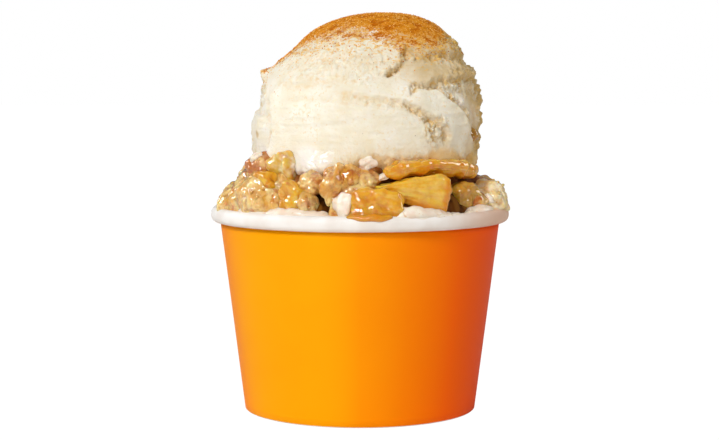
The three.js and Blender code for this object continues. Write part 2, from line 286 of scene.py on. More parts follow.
class Graph:
    """The shader nodes of one material or world."""

    def __init__(
        self,
        owner: bpy.types.Material | bpy.types.World,
        output: str = "ShaderNodeOutputMaterial",
    ) -> None:
        """Starts a graph with only its output.

        Args:
            owner: The new material or world.
            output: The type of its output node.
        """
        self.owner = owner
        owner.use_nodes = True
        self.tree = owner.node_tree
        self.tree.nodes.clear()
        self.output = self.tree.nodes.new(output)

    @classmethod
    def material(cls, name: str) -> Graph:
        """Starts a material's graph."""
        return cls(bpy.data.materials.new(name))

    @cached_property
    def place(self) -> Shade:
        """The object's own coordinates."""
        return self.add("ShaderNodeTexCoord", {}, {}, "Object")

    def add(
        self,
        kind: str,
        settings: dict[str, Any],
        values: dict[str | int, Any],
        out: str | int = 0,
    ) -> Shade:
        """Adds one node.

        Args:
            kind: The node's type.
            settings: Its own settings, set first. `stops` are a ramp's places and colours.
            values: What goes into its sockets: a number, a colour or another node's output.
            out: Which of its outputs to give back.

        Returns:
            That output.
        """
        node = self.tree.nodes.new(kind)
        for key, value in settings.items():
            if key == "stops":
                self._set_stops(node.color_ramp, value)
            else:
                setattr(node, key, value)
        for key, value in values.items():
            self.feed(node.inputs[key], value)
        return Shade(self, node.outputs[out])

    def _set_stops(self, ramp: bpy.types.ColorRamp, stops: Sequence[tuple[float, Colour]]) -> None:
        """Sets a colour ramp's stops.

        Args:
            ramp: The ramp.
            stops: Its places from 0 to 1, with their colours.
        """
        while len(ramp.elements) < len(stops):
            ramp.elements.new(1.0)
        for element, (position, colour) in zip(ramp.elements, stops):
            element.position = position
            element.color = colour

    def feed(self, socket: bpy.types.NodeSocket, value: Any) -> None:
        """Links a node's output to a socket, or sets the socket's own value.

        Args:
            socket: The input socket.
            value: An output, a number or a colour.
        """
        if isinstance(value, Shade):
            self.tree.links.new(value.socket, socket)
        else:
            socket.default_value = value

    def noise(self, size: float, detail: float = 3.0, place: Shade | None = None, **sockets: float) -> Shade:
        """A noise pattern from 0 to 1.

        Args:
            size: How far apart its bumps are, in millimetres.
            detail: How many finer layers it has.
            place: The coordinates, which are the object's own if left out.
            sockets: Values of its other sockets.

        Returns:
            The pattern.
        """
        values = {"Vector": place or self.place, "Scale": 1 / (size * MM), "Detail": detail, **sockets}
        return self.add("ShaderNodeTexNoise", {}, values, "Fac")

    def cells(self, size: float) -> Shade:
        """The distance to the nearest of many scattered points, as a share of their spacing.

        Args:
            size: How far apart the points are, in millimetres.

        Returns:
            The distance.
        """
        values = {"Vector": self.place, "Scale": 1 / (size * MM)}
        return self.add("ShaderNodeTexVoronoi", {"feature": "F1"}, values, "Distance")

    def stretched(self, along: tuple[float, float, float]) -> Shade:
        """The object's coordinates, scaled by axis for a pattern that runs one way.

        Args:
            along: The scale on each axis.

        Returns:
            The coordinates.
        """
        return self.add("ShaderNodeMapping", {}, {"Vector": self.place, "Scale": along}, "Vector")

    def attribute(self, name: str) -> Shade:
        """A number kept on the mesh."""
        return self.add("ShaderNodeAttribute", {"attribute_name": name}, {}, "Fac")

    def mix(self, factor: Shade | float, low: Shade | Colour, high: Shade | Colour) -> Shade:
        """Mixes two colours.

        Args:
            factor: The share of the second.
            low: The first colour.
            high: The second colour.

        Returns:
            The mixed colour.
        """
        settings = {"data_type": "RGBA", "blend_type": "MIX"}
        return self.add("ShaderNodeMix", settings, {0: factor, 6: low, 7: high}, 2)

    def axis(self, name: str) -> Shade:
        """The object's own coordinate on one axis, in metres."""
        return self.add("ShaderNodeSeparateXYZ", {}, {"Vector": self.place}, name)

    def ramp(self, share: Shade, stops: Sequence[tuple[float, Colour]]) -> Shade:
        """The colour that a share from 0 to 1 has between stops."""
        return self.add("ShaderNodeValToRGB", {"stops": stops}, {"Fac": share}, "Color")

    def bump(self, height: Shade, depth: float, strength: float = 1.0) -> Shade:
        """Turns a height pattern into a surface normal.

        Args:
            height: The pattern from 0 to 1.
            depth: How deep it is, in millimetres.
            strength: How much of it shows.

        Returns:
            The normal.
        """
        values = {"Height": height, "Distance": depth * MM, "Strength": strength}
        return self.add("ShaderNodeBump", {}, values, "Normal")

    def surface(self, values: dict[str, Any]) -> Shade:
        """Adds a surface shader with these values in its sockets."""
        return self.add("ShaderNodeBsdfPrincipled", {}, values, "BSDF")

    def close(self, shader: Shade) -> bpy.types.Material | bpy.types.World:
        """Links a shader to the output and gives back the finished material or world."""
        self.feed(self.output.inputs["Surface"], shader)
        return self.owner

    def finish(self, values: dict[str, Any]) -> bpy.types.Material:
        """Adds the surface shader and closes the graph.

        Args:
            values: What goes into the shader's sockets.

        Returns:
            The finished material.
        """
        return self.close(self.surface(values))

    def seen_by_camera(self, share: float, light: Shade, seen: Shade) -> Shade:
        """Gives the camera another shader than the light gets.

        Args:
            share: How much of the second shader the camera sees.
            light: The shader for the light.
            seen: The shader for the camera.

        Returns:
            The mixed shader.
        """
        camera = self.add("ShaderNodeLightPath", {}, {}, "Is Camera Ray")
        return self.add("ShaderNodeMixShader", {}, {0: camera * share, 1: light, 2: seen}, "Shader")


@dataclass(frozen=True)
class PrintedBoard:
    """Orange print on coated board, lighter at the front left and deeper at the right: partly a printed
    gradient, partly painted light that brightens the side facing the key lamp.
    """

    print_and_painted_light_shades: tuple[tuple[float, Colour], ...] = (
        (0.0, srgb(240, 76, 0)),
        (0.41, srgb(255, 104, 0)),
        (0.79, srgb(255, 134, 0)),
        (0.956, srgb(255, 152, 0)),
        (1.0, srgb(255, 170, 0)),
    )
    worn: Colour = srgb(246, 120, 0)
    painted_light_bearing: float = -35.0

    def make(self) -> bpy.types.Material:
        """Builds the material.

        Returns:
            The print's material.
        """
        graph = Graph.material("orange_print")
        turn = math.radians(self.painted_light_bearing)
        x, y = graph.axis("X"), graph.axis("Y")
        towards = x * math.sin(turn) - y * math.cos(turn)
        facing_painted_light = towards / (x * x + y * y) ** 0.5
        # Painted light: the print is lightest on the side that faces the key lamp and deepest away from it,
        # partly a real printed gradient.
        fade = graph.ramp(facing_painted_light.between(-0.45, 1.0), self.print_and_painted_light_shades)
        fibre = graph.noise(0.5, 4.0)
        patch = graph.noise(22.0, 2.0)
        shade = graph.mix(patch.between(0.3, 0.8) * 0.1, fade, self.worn)
        return graph.finish({
            "Base Color": shade,
            "Roughness": 0.36 + fibre * 0.12,
            "Normal": graph.bump(fibre, 0.02, 0.5),
            "Specular IOR Level": 0.06,
        })


@dataclass(frozen=True)
class WhiteBoard:
    """Bare coated white board, with warm patches of painted shade on the cup's right side."""

    colour: Colour = srgb(247, 244, 240)
    shade: Colour = srgb(238, 231, 224)
    # The colour of the painted shade on the cup's right side.
    tinted: Colour = srgb(222, 174, 140)

    def make(self) -> bpy.types.Material:
        """Builds the material.

        Returns:
            The board's material.
        """
        graph = Graph.material("white_board")
        fibre = graph.noise(0.35, 5.0)
        patch = graph.noise(6.0, 3.0)
        board = graph.mix(patch.between(0.35, 0.75), self.colour, self.shade)
        # Painted shade: patchy, darker and warmer on the cup's right side, which faces away from the light.
        right_side_shade = graph.axis("X").between(0.022, 0.044) * graph.noise(5.0, 3.0).between(0.15, 0.5)
        return graph.finish({
            "Base Color": graph.mix(right_side_shade * 0.8, board, self.tinted),
            "Roughness": 0.5 + fibre * 0.15,
            "Normal": graph.bump(fibre, 0.02, 0.6),
        })


@dataclass(frozen=True)
class IceCream:
    """Vanilla ice cream with specks, stained by syrup at its foot and dusted with cinnamon sugar on top, with
    painted shade at its right side and in its cracks.
    """

    cream: Colour = srgb(240, 232, 211)
    pale: Colour = srgb(248, 244, 231)
    # The colour of painted shade on the right side and the back, partly a thin melt.
    painted_shade_and_melt: Colour = srgb(206, 176, 120)
    # The colour of painted shade in cracks and pits, partly a yellow stain.
    hollow: Colour = srgb(230, 186, 98)
    fleck: Colour = srgb(232, 196, 118)
    syrup: Colour = srgb(228, 180, 88)
    wash: Colour = srgb(240, 188, 80)
    milky_and_painted_light: Colour = srgb(255, 247, 240)
    cinnamon: Colour = srgb(230, 150, 34)
    dark_cinnamon: Colour = srgb(194, 100, 2)
    speck: Colour = srgb(112, 84, 52)

    def make(self) -> bpy.types.Material:
        """Builds the material.

        Returns:
            The ice cream's material.
        """
        graph = Graph.material("vanilla_ice_cream")
        dusted = graph.attribute("dusted")
        torn = graph.attribute("torn")
        tinted = graph.attribute("tinted")
        soft = graph.noise(7.0, 3.0)
        fine = graph.noise(0.7, 5.0)
        body = graph.mix(soft.between(0.35, 0.7), self.cream, self.pale)
        # Painted shade: the right side and the back of the scoop are browner, partly a thin melt.
        body = graph.mix(graph.attribute("painted_shade_and_melt") * graph.noise(5.0, 4.0).between(0.1, 0.58), body, self.painted_shade_and_melt)
        pits = graph.noise(1.6, 4.0)
        flecks = (graph.noise(0.9, 4.0) * 0.7 + graph.noise(7.0, 2.0) * 0.3).between(0.55, 0.66)
        body = graph.mix(flecks * 0.36, body, self.fleck)
        # Painted shade in cracks, pits and under layer edges, mixed in as the hollow colour, partly a yellow
        # stain.
        pit_shade = (torn * 0.6 + 0.06) * (1 - pits).between(0.5, 0.68) + graph.attribute("pit_shade") * 0.6
        body = graph.mix(pit_shade.smaller(0.75), body, self.hollow)
        # Whiter where the ice cream melts, partly painted light where the front ledge and the tongue's bead
        # catch the light.
        body = graph.mix(graph.attribute("milky_and_painted_light") * 0.8, body, self.milky_and_painted_light)
        stain = (tinted + graph.noise(2.4, 4.0) * 0.8).between(0.6, 1.2)
        body = graph.mix(stain * 0.62, body, self.syrup)
        dots = (1 - graph.cells(3.2).between(0.05, 0.08)) * graph.noise(9.0, 1.0).between(0.4, 0.6)
        body = graph.mix(dots * 0.5, body, self.speck)
        grain = graph.noise(0.6, 5.0)
        clumps = graph.noise(3.2, 5.0)
        threads = graph.noise(0.75, 3.0, graph.stretched((0.6, 0.6, 1.2)))
        wash = (dusted * 0.9 + threads * 1.6 + clumps * 0.6 - 1.4).between(0.0, 0.3)
        body = graph.mix(wash * 0.8, body, self.wash)
        cover = (dusted * 1.6 + grain * 1.1 + clumps * 0.9 - 1.72).between(0.0, 0.42)
        spice = graph.mix((clumps * 0.7 + grain * 0.3).between(0.47, 0.62), self.cinnamon, self.dark_cinnamon)
        body = graph.mix(cover, body, spice)
        striped = graph.noise(0.9, 4.0, graph.stretched((0.12, 0.12, 1.0)))
        relief = fine * 0.35 + striped * 0.15 * (1 - torn) + grain * 0.3 * cover + (fine + pits * 0.9) * torn
        return graph.finish({
            "Base Color": body,
            "Roughness": 0.42 + 0.3 * cover + 0.1 * fine,
            "Specular IOR Level": 0.1,
            "Normal": graph.bump(relief, 0.7, 1.0),
            "Coat Weight": graph.attribute("milky_and_painted_light") * 0.7,
            "Coat Roughness": 0.1,
            "Subsurface Weight": 0.35,
            "Subsurface Radius": (1.0, 0.85, 0.55),
            "Subsurface Scale": 0.0014,
        })


@dataclass(frozen=True)
class MeltedCream:
    """Wet melted ice cream, a little pinker where it is thin."""

    cream: Colour = srgb(250, 241, 226)
    thin: Colour = srgb(240, 220, 200)
    syrup: Colour = srgb(214, 164, 96)

    def make(self) -> bpy.types.Material:
        """Builds the material.

        Returns:
            The melted ice cream's material.
        """
        graph = Graph.material("melted_ice_cream")
        soft = graph.noise(3.4, 4.0)
        body = graph.mix(soft.between(0.35, 0.65), self.cream, self.thin)
        streaks = graph.noise(2.2, 3.0, Distortion=1.4).between(0.6, 0.74)
        body = graph.mix(streaks * 0.65, body, self.syrup)
        return graph.finish({
            "Base Color": body,
            "Roughness": 0.12 + graph.noise(1.1, 3.0) * 0.16,
            "Specular IOR Level": 0.35,
            "Normal": graph.bump(graph.noise(2.2, 3.0), 0.2, 0.4),
            "Subsurface Weight": 0.3,
            "Subsurface Radius": (1.0, 0.7, 0.45),
            "Subsurface Scale": 0.0015,
        })


@dataclass(frozen=True)
class StewedApple:
    """Soft amber apple under a syrup glaze, with strands that run along it and browner cut edges; lower faces
    and an olive tint carry painted shade.
    """

    flesh: Colour = srgb(238, 180, 30)
    deep: Colour = srgb(212, 122, 0)
    pale: Colour = srgb(248, 212, 100)
    edge: Colour = srgb(184, 88, 0)
    olive_and_painted_shade: Colour = srgb(166, 128, 50)
    cream: Colour = srgb(248, 234, 206)

    def make(self) -> bpy.types.Material:
        """Builds the material.

        Returns:
            The apple's material.
        """
        graph = Graph.material("stewed_apple")
        rim = graph.attribute("rim")
        face = graph.attribute("face")
        tone = graph.attribute("tone")
        along = graph.add("ShaderNodeAttribute", {"attribute_name": "grain"}, {}, "Vector")
        cloud = graph.noise(4.2, 4.0, Distortion=1.0)
        strands = graph.noise(1.9, 4.0, along)
        clouded = (cloud * 0.6 + strands * 0.4 - tone * 0.2).between(0.26, 0.6)
        body = graph.mix(clouded * 0.8, self.flesh, self.deep)
        streaks = (strands * 0.55 + graph.noise(2.6, 4.0) * 0.45 + tone * 0.16).between(0.52, 0.72)
        # Pale streaks stay off the lower face, so the upper face is painted lighter.
        body = graph.mix(streaks * 0.7 * (1 - face), body, self.pale)
        body = graph.mix((rim * graph.noise(2.0, 4.0).between(0.4, 0.62)) * 0.8, body, self.edge)
        # Painted shade: the lower face and the wedge's end are deeper amber.
        body = graph.mix(face * 0.6, body, self.deep)
        # Olive tint: partly the fruit's own colour, partly painted shade on the slice that lies in shadow.
        body = graph.mix(graph.attribute("olive_and_painted_shade"), body, self.olive_and_painted_shade)
        coated = (graph.attribute("creamy") * 0.6 + graph.noise(3.0, 4.0) * 0.7).between(0.56, 0.8)
        body = graph.mix(coated, body, self.cream)
        return graph.finish({
            "Base Color": body,
            "Roughness": 0.1 + strands * 0.14,
            "Specular IOR Level": 0.16,
            "Normal": graph.bump(strands * 0.4 + graph.noise(1.3, 4.0) * 0.8, 0.4, 0.9),
            "Coat Weight": 1.0,
            "Coat Roughness": 0.03,
            "Coat IOR": 1.7,
            "Subsurface Weight": 0.7,
            "Subsurface Radius": (1.0, 0.55, 0.12),
            "Subsurface Scale": 0.004,
        })


@dataclass(frozen=True)
class BrownedCrust:
    """Crumbly baked dough, partly glazed: pale inside, golden on its crags, browner in its hollows from
    baking and painted shade, nearly black painted shade in deep gaps.
    """

    pale: Colour = srgb(244, 212, 142)
    golden: Colour = srgb(222, 158, 56)
    brown: Colour = srgb(150, 74, 6)
    speck: Colour = srgb(188, 112, 26)
    syrup: Colour = srgb(184, 92, 0)
    dark: Colour = srgb(190, 108, 30)
    soaked: Colour = srgb(250, 226, 172)
    gap: Colour = srgb(74, 36, 8)
    cream: Colour = srgb(250, 240, 216)

    def make(self) -> bpy.types.Material:
        """Builds the material.

        Returns:
            The crust's material.
        """
        graph = Graph.material("browned_crust")
        crag = graph.attribute("crag")
        syrupy = graph.attribute("syrupy")
        wet = (graph.noise(4.2, 3.0) + syrupy * 0.3).between(0.52, 0.76)
        fine = graph.noise(0.6, 5.0)
        patch = graph.noise(5.0, 4.0, Distortion=0.6)
        seams = graph.noise(3.6, 4.0, Distortion=1.0)
        body = graph.mix(patch.between(0.38, 0.64), self.pale, self.golden)
        # Browner in creases: partly the crust's own colour, partly painted shade.
        body = graph.mix(((1 - crag) * 0.9 + seams * 0.5).between(0.62, 1.04) * 0.7, body, self.brown)
        body = graph.mix(graph.noise(1.1, 4.0).between(0.54, 0.68) * 0.45, body, self.speck)
        body = graph.mix(wet * seams.between(0.44, 0.64) * 0.85, body, self.syrup)
        body = graph.mix((syrupy - 1.0).between(0.0, 0.7) * patch.between(0.3, 0.52), body, self.dark)
        # Cream-coated pieces are paler overall: partly cream, partly painted light that brightens a shaded
        # lump.
        creamy = graph.attribute("creamy")
        body = graph.mix(creamy * 0.7, body, self.soaked)
        coated = (creamy * 0.5 + graph.noise(2.4, 3.0) * 0.7).between(0.56, 0.8)
        body = graph.mix(coated * 0.8, body, self.cream)
        # Painted shade: where the mass lies far back it is painted nearly black, standing for the shadow in
        # the gaps.
        deep = graph.attribute("deep")
        body = graph.mix(deep * 0.9, body, self.gap)
        return graph.finish({
            "Base Color": body,
            "Roughness": 0.34 - 0.22 * wet + 0.1 * fine + 0.5 * deep,
            "Specular IOR Level": 0.14,
            "Coat Weight": (0.55 + wet * 0.45) * (1 - deep),
            "Coat Roughness": 0.04,
            "Coat IOR": 1.75,
            "Normal": graph.bump(fine * 0.5 + graph.noise(1.5, 3.0) * 0.9, 0.5, 0.9),
            "Subsurface Weight": 0.4,
            "Subsurface Radius": (1.0, 0.55, 0.2),
            "Subsurface Scale": 0.003,
        })


@dataclass(frozen=True)
class Syrup:
    """Brown sugar syrup with soft crumbs in it."""

    dark: Colour = srgb(58, 28, 6)
    amber: Colour = srgb(104, 58, 8)
    crumb: Colour = srgb(130, 84, 24)

    def make(self) -> bpy.types.Material:
        """Builds the material.

        Returns:
            The syrup's material.
        """
        graph = Graph.material("stewed_filling")
        crag = graph.attribute("crag")
        patch = graph.noise(3.0, 4.0)
        body = graph.mix(patch.between(0.35, 0.65), self.dark, self.amber)
        body = graph.mix(crag.between(0.55, 0.95) * 0.7, body, self.crumb)
        return graph.finish({
            "Base Color": body,
            "Roughness": 0.5 + graph.noise(1.4, 3.0) * 0.3,
            "Specular IOR Level": 0.05,
            "Normal": graph.bump(graph.noise(1.4, 4.0), 0.3, 0.6),
        })


@dataclass(frozen=True)
class CinnamonSugar:
    """Grains of cinnamon sugar, from pale sugar to dark spice."""

    sugar: Colour = srgb(250, 208, 120)
    cinnamon: Colour = srgb(234, 150, 28)
    dark: Colour = srgb(192, 100, 0)

    def make(self) -> bpy.types.Material:
        """Builds the material.

        Returns:
            The grains' material.
        """
        graph = Graph.material("cinnamon_sugar")
        pick = graph.noise(0.9, 0.0)
        stops = [(0.32, self.dark), (0.5, self.cinnamon), (0.66, self.sugar)]
        return graph.finish({
            "Base Color": graph.ramp(pick, stops),
            "Roughness": 0.4 + graph.noise(0.4, 1.0) * 0.3,
            "Specular IOR Level": 0.06,
        })


@dataclass(frozen=True)
class StudioWhite:
    """The pale floor. The camera sees it nearly white, and what it throws back is softer."""

    colour: Colour = (0.8, 0.78, 0.75, 1.0)
    glow: float = 1.08
    share: float = 0.94

    def make(self) -> bpy.types.Material:
        """Builds the material.

        Returns:
            The floor's material.
        """
        graph = Graph.material("pale_floor")
        lit = graph.surface({"Base Color": self.colour, "Roughness": 0.8, "Specular IOR Level": 0.1})
        glow = graph.add("ShaderNodeEmission", {}, {"Strength": self.glow}, "Emission")
        return graph.close(graph.seen_by_camera(self.share, lit, glow))


class Finishes:
    """Every finish, made once and shared."""

    def __init__(self) -> None:
        """Builds the materials."""
        self.printed_board = PrintedBoard().make()
        self.white_board = WhiteBoard().make()
        self.ice_cream = IceCream().make()
        self.melted_cream = MeltedCream().make()
        self.apple = StewedApple().make()
        self.crust = BrownedCrust().make()
        self.syrup = Syrup().make()
        self.cinnamon_sugar = CinnamonSugar().make()
        self.floor = StudioWhite().make()


def keep_numbers(mesh: bmesh.types.BMesh, name: str, values: Sequence[float] | float) -> None:
    """Keeps one number for each vertex of a mesh, for its material to read.

    Args:
        mesh: The mesh.
        name: The attribute's name.
        values: The numbers, in the order of the vertices, or one for them all.
    """
    layer = mesh.verts.layers.float.new(name)
    numbers = [values] * len(mesh.verts) if isinstance(values, float) else values
    for vertex, value in zip(mesh.verts, numbers):
        vertex[layer] = value


def joined(shape: bmesh.types.BMesh, places: Sequence[Matrix]) -> bmesh.types.BMesh:
    """Repeats a small shape many times in one mesh.

    Args:
        shape: The shape, which is freed.
        places: Where each copy goes.

    Returns:
        The mesh of all the copies.
    """
    corners = np.array([[*vertex.co, 1.0] for vertex in shape.verts])
    faces = [[vertex.index for vertex in face.verts] for face in shape.faces]
    shape.free()
    turned = np.einsum("mij,nj->mni", np.array([list(map(list, m)) for m in places]), corners)[..., :3]
    starts = range(0, len(places) * len(corners), len(corners))
    copies = [[start + i for i in face] for start in starts for face in faces]
    data = bpy.data.meshes.new("copies")
    data.from_pydata(turned.reshape(-1, 3).tolist(), [], copies)
    mesh = bmesh.new()
    mesh.from_mesh(data)
    bpy.data.meshes.remove(data)
    return mesh


def put_in_scene(name: str, data: bpy.types.ID) -> bpy.types.Object:
    """Makes an object of a mesh, a lamp or a camera and links it to the scene."""
    made = bpy.data.objects.new(name, data)
    bpy.context.scene.collection.objects.link(made)
    return made


def cut_cube(cuts: int) -> bmesh.types.BMesh:
    """A cube from -1 to 1 whose faces are cut into a grid.

    Args:
        cuts: How many cuts each edge has.

    Returns:
        The cube.
    """
    mesh = bmesh.new()
    bmesh.ops.create_cube(mesh, size=2.0)
    bmesh.ops.subdivide_edges(mesh, edges=mesh.edges, cuts=cuts, use_grid_fill=True)
    return mesh


def finish_piece(
    name: str,
    mesh: bmesh.types.BMesh,
    materials: Sequence[bpy.types.Material],
    replaces: Sequence[str] = (),
) -> bpy.types.Object:
    """Turns a mesh in millimetres into a finished piece in metres that rides on the part.

    Args:
        name: The piece's name.
        mesh: The mesh, which is freed.
        materials: Its materials.
        replaces: The solids that it stands for.

    Returns:
        The piece.
    """
    bmesh.ops.scale(mesh, vec=(MM, MM, MM), verts=mesh.verts)
    for face in mesh.faces:
        face.smooth = True
    data = bpy.data.meshes.new(name)
    mesh.to_mesh(data)
    mesh.free()
    for material in materials:
        data.materials.append(material)
    piece = put_in_scene(name, data)
    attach(piece, BODY)
    if replaces:
        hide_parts(*replaces)
    log.info("%.1f s %s: %d faces", time.perf_counter(), name, len(data.polygons))
    return piece


def spun(profile: Sequence[tuple[float, float]], steps: int, closed: bool) -> bmesh.types.BMesh:
    """Turns a section about +Z.

    Args:
        profile: Its points as radius and height.
        steps: How many steps go round.
        closed: Whether the section's last point joins its first.

    Returns:
        The closed shape, its faces pointing outwards.
    """
    mesh = bmesh.new()
    points = [mesh.verts.new((radius, 0.0, height)) for radius, height in profile]
    edges = [mesh.edges.new(pair) for pair in zip(points, points[1:])]
    if closed:
        edges.append(mesh.edges.new((points[-1], points[0])))
    bmesh.ops.spin(
        mesh, geom=points + edges, cent=(0, 0, 0), axis=(0, 0, 1), angle=math.tau, steps=steps, use_merge=True
    )
    bmesh.ops.remove_doubles(mesh, verts=mesh.verts, dist=1e-4)
    bmesh.ops.recalc_face_normals(mesh, faces=mesh.faces)
    return mesh


@dataclass
class PaperCup:
    """The cup: a printed wall, a white rolled lip and a base that sits above the foot."""

    board: float = 0.6
    lip_height: float = 4.8
    lip_width: float = 3.9
    foot_fold_height: float = 5.0
    foot_fold_width: float = 1.9
    foot_diameter: float = 74.2
    corner: float = 0.25
    seam_bearing: float = 148.0
    seam_width: float = 7.0
    seam_step: float = 0.3
    seam_edge: float = 0.4
    base_slope: float = 6.0
    steps: int = 288
    lip_sides: int = 40
    base_rings: int = 24
    base_steps: int = 144

    def __post_init__(self) -> None:
        """Reads the rim's size from the frame."""
        low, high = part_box("paper_cup")
        self.rim_radius = (high.x - low.x) / 2 / MM
        self.height = high.z / MM
        self.foot_radius = self.foot_diameter / 2
        self.wall_top = self.height - self.lip_height
        self.wall_top_radius = self.rim_radius - self.lip_width + self.board

    def wall_radius(self, height: float) -> float:
        """The outside radius of the wall at a height."""
        return self.foot_radius + (self.wall_top_radius - self.foot_radius) * height / self.wall_top

    def _wall_profile(self) -> list[tuple[float, float]]:
        """The wall's section, with its fold at the foot.

        Returns:
            Its points as radius and height.
        """
        fold = self.foot_radius - self.foot_fold_width
        inner = self.foot_fold_height - 0.02
        outside = [self.corner] + [self.wall_top * i / 24 for i in range(1, 24)] + [self.wall_top + 0.6]
        points = [(self.wall_radius(z), z) for z in outside]
        points += [(self.wall_radius(z) - self.board, z) for z in (self.wall_top + 0.6, 40.0, 20.0, inner)]
        points += [(fold, inner), (fold, self.corner), (fold + self.corner, 0.0)]
        points += [(self.foot_radius - self.corner, 0.0)]
        return points

    def _seam(self, point: Vector) -> float:
        """How far the overlap of the board stands out at a point of the wall."""
        turn = wrapped(math.degrees(math.atan2(point.y, point.x)) - self.seam_bearing)
        along = math.radians(turn) * from_axis(point)
        edge = clamp((self.seam_width / 2 - along) / self.seam_edge)
        return self.seam_step * edge * smooth(along / self.seam_width + 0.5)

    def build_wall(self, finishes: Finishes) -> None:
        """Builds the printed wall with its white fold and inside."""
        mesh = spun(self._wall_profile(), self.steps, closed=True)
        for vertex in mesh.verts:
            radius = from_axis(vertex.co)
            outside = radius > self.wall_radius(vertex.co.z) - self.board / 2
            if not outside or vertex.co.z > self.wall_top:
                continue
            ripple = 0.05 * uneven(vertex.co, 26, 4)
            widen(vertex.co, 1 + (self._seam(vertex.co) + ripple) / radius)
        for face in mesh.faces:
            centre = face.calc_center_median()
            outward = face.normal.dot(Vector((centre.x, centre.y, 0)).normalized()) > 0.7
            outside = from_axis(centre) > self.wall_radius(centre.z) - 0.35
            face.material_index = 0 if outward and outside and centre.z > self.corner else 1
        materials = [finishes.printed_board, finishes.white_board]
        finish_piece("cup_wall", mesh, materials, ["paper_cup"])

    def build_lip(self, finishes: Finishes) -> None:
        """Builds the rolled lip, a little flattened where the board overlaps."""
        middle = self.height - self.lip_height / 2
        radius = self.rim_radius - self.lip_width / 2
        profile = []
        for i in range(self.lip_sides):
            angle = math.tau * i / self.lip_sides
            flat = 1 - 0.06 * max(0.0, math.cos(angle)) ** 6
            across = radius + self.lip_width / 2 * math.cos(angle) * flat
            profile.append((across, middle + self.lip_height / 2 * math.sin(angle)))
        mesh = spun(profile, self.steps, closed=True)
        for vertex in mesh.verts:
            dent = 0.16 * uneven(vertex.co, 11, 9) + 0.07 * uneven(vertex.co, 3.5, 2)
            widen(vertex.co, 1 + (dent + 0.5 * self._seam(vertex.co) - 0.15) / from_axis(vertex.co))
            vertex.co.z += 0.5 * dent - 0.05
        finish_piece("cup_lip", mesh, [finishes.white_board])

    def build_base(self, finishes: Finishes) -> None:
        """Builds the base, pressed up a little towards its middle."""
        low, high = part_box("cup_base")
        radius, top, under = high.x / MM, high.z / MM, low.z / MM
        rings = self.base_rings
        outline = [(radius * i / rings, under) for i in range(rings + 1)]
        outline += [(radius * i / rings, top) for i in range(rings, -1, -1)]
        mesh = spun(outline, self.base_steps, closed=False)
        for vertex in mesh.verts:
            inwards = smooth((radius - from_axis(vertex.co)) / self.base_slope)
            vertex.co.z += 0.12 * (uneven(vertex.co, 15, 3) - 0.5) * inwards
        finish_piece("base_disc", mesh, [finishes.white_board], ["cup_base"])

    def build(self, finishes: Finishes) -> None:
        """Builds the whole cup.

        Args:
            finishes: The shared finishes.
        """
        self.build_wall(finishes)
        self.build_lip(finishes)
        self.build_base(finishes)


@dataclass
class Filling:
    """The stewed filling in the cup, whose heaped top shows between the pieces."""

    bottom: float = 6.05
    edge_height: float = 60.5
    heap_height: float = 73.0
    steepness: float = 2.6
    flat_radius: float = 24.0
    sauce: float = 2.2
    gap: float = 0.3
    slope_width: float = 4.0
    rings: int = 44
    steps: int = 300

    def build(self, cup: PaperCup, finishes: Finishes) -> None:
        """Builds the filling.

        Args:
            cup: The cup that holds it.
            finishes: The shared finishes.
        """
        edge = cup.wall_radius(self.edge_height) - cup.board - self.gap
        foot = cup.wall_radius(self.bottom) - cup.board - self.gap
        half_way = ((foot + edge) / 2, (self.bottom + self.edge_height) / 2)
        outline = [(0.0, self.bottom), (foot, self.bottom), half_way]
        for i in range(self.rings + 1):
            share = i / self.rings
            rise = 1 - (1 - share) ** self.steepness
            height = self.edge_height + (self.heap_height - self.edge_height) * rise
            outline.append((edge + (self.flat_radius - edge) * share, height))
        outline.append((0.0, self.heap_height))
        mesh = spun(outline, self.steps, closed=False)
        crags = []
        for vertex in mesh.verts:
            point = vertex.co
            away = from_axis(point)
            slope = clamp(min(edge - away, away - self.flat_radius) / self.slope_width)
            crag = crumble(point, 3.6, 2)
            if point.z > self.edge_height:
                bumps = 1.4 * uneven(point, 9, 3) + 0.8 * uneven(point, 4, 8) + 1.3 * (crag - 0.4)
                point.z += slope * (bumps + self.sauce)
            crags.append(crag)
        keep_numbers(mesh, "crag", crags)
        finish_piece("filling", mesh, [finishes.syrup], ["cobbler_filling"])


@dataclass(frozen=True)
class Place:
    """Where a piece lies in the heap: round the cup from +X, out from its axis, and how it is turned."""

    bearing: float
    reach: float
    height: float
    turn: float = 0.0
    tip: float = 0.0
    roll: float = 0.0

    def matrix(self) -> Matrix:
        """The matrix that sets a piece in its place.

        Returns:
            The matrix, in millimetres.
        """
        angle = math.radians(self.bearing)
        spot = (self.reach * math.cos(angle), self.reach * math.sin(angle), self.height)
        tilt = (
            Matrix.Rotation(math.radians(self.turn), 4, "Z")
            @ Matrix.Rotation(math.radians(self.tip), 4, "X")
            @ Matrix.Rotation(math.radians(self.roll), 4, "Y")
        )
        return Matrix.Translation(spot) @ Matrix.Rotation(angle + math.pi / 2, 4, "Z") @ tilt


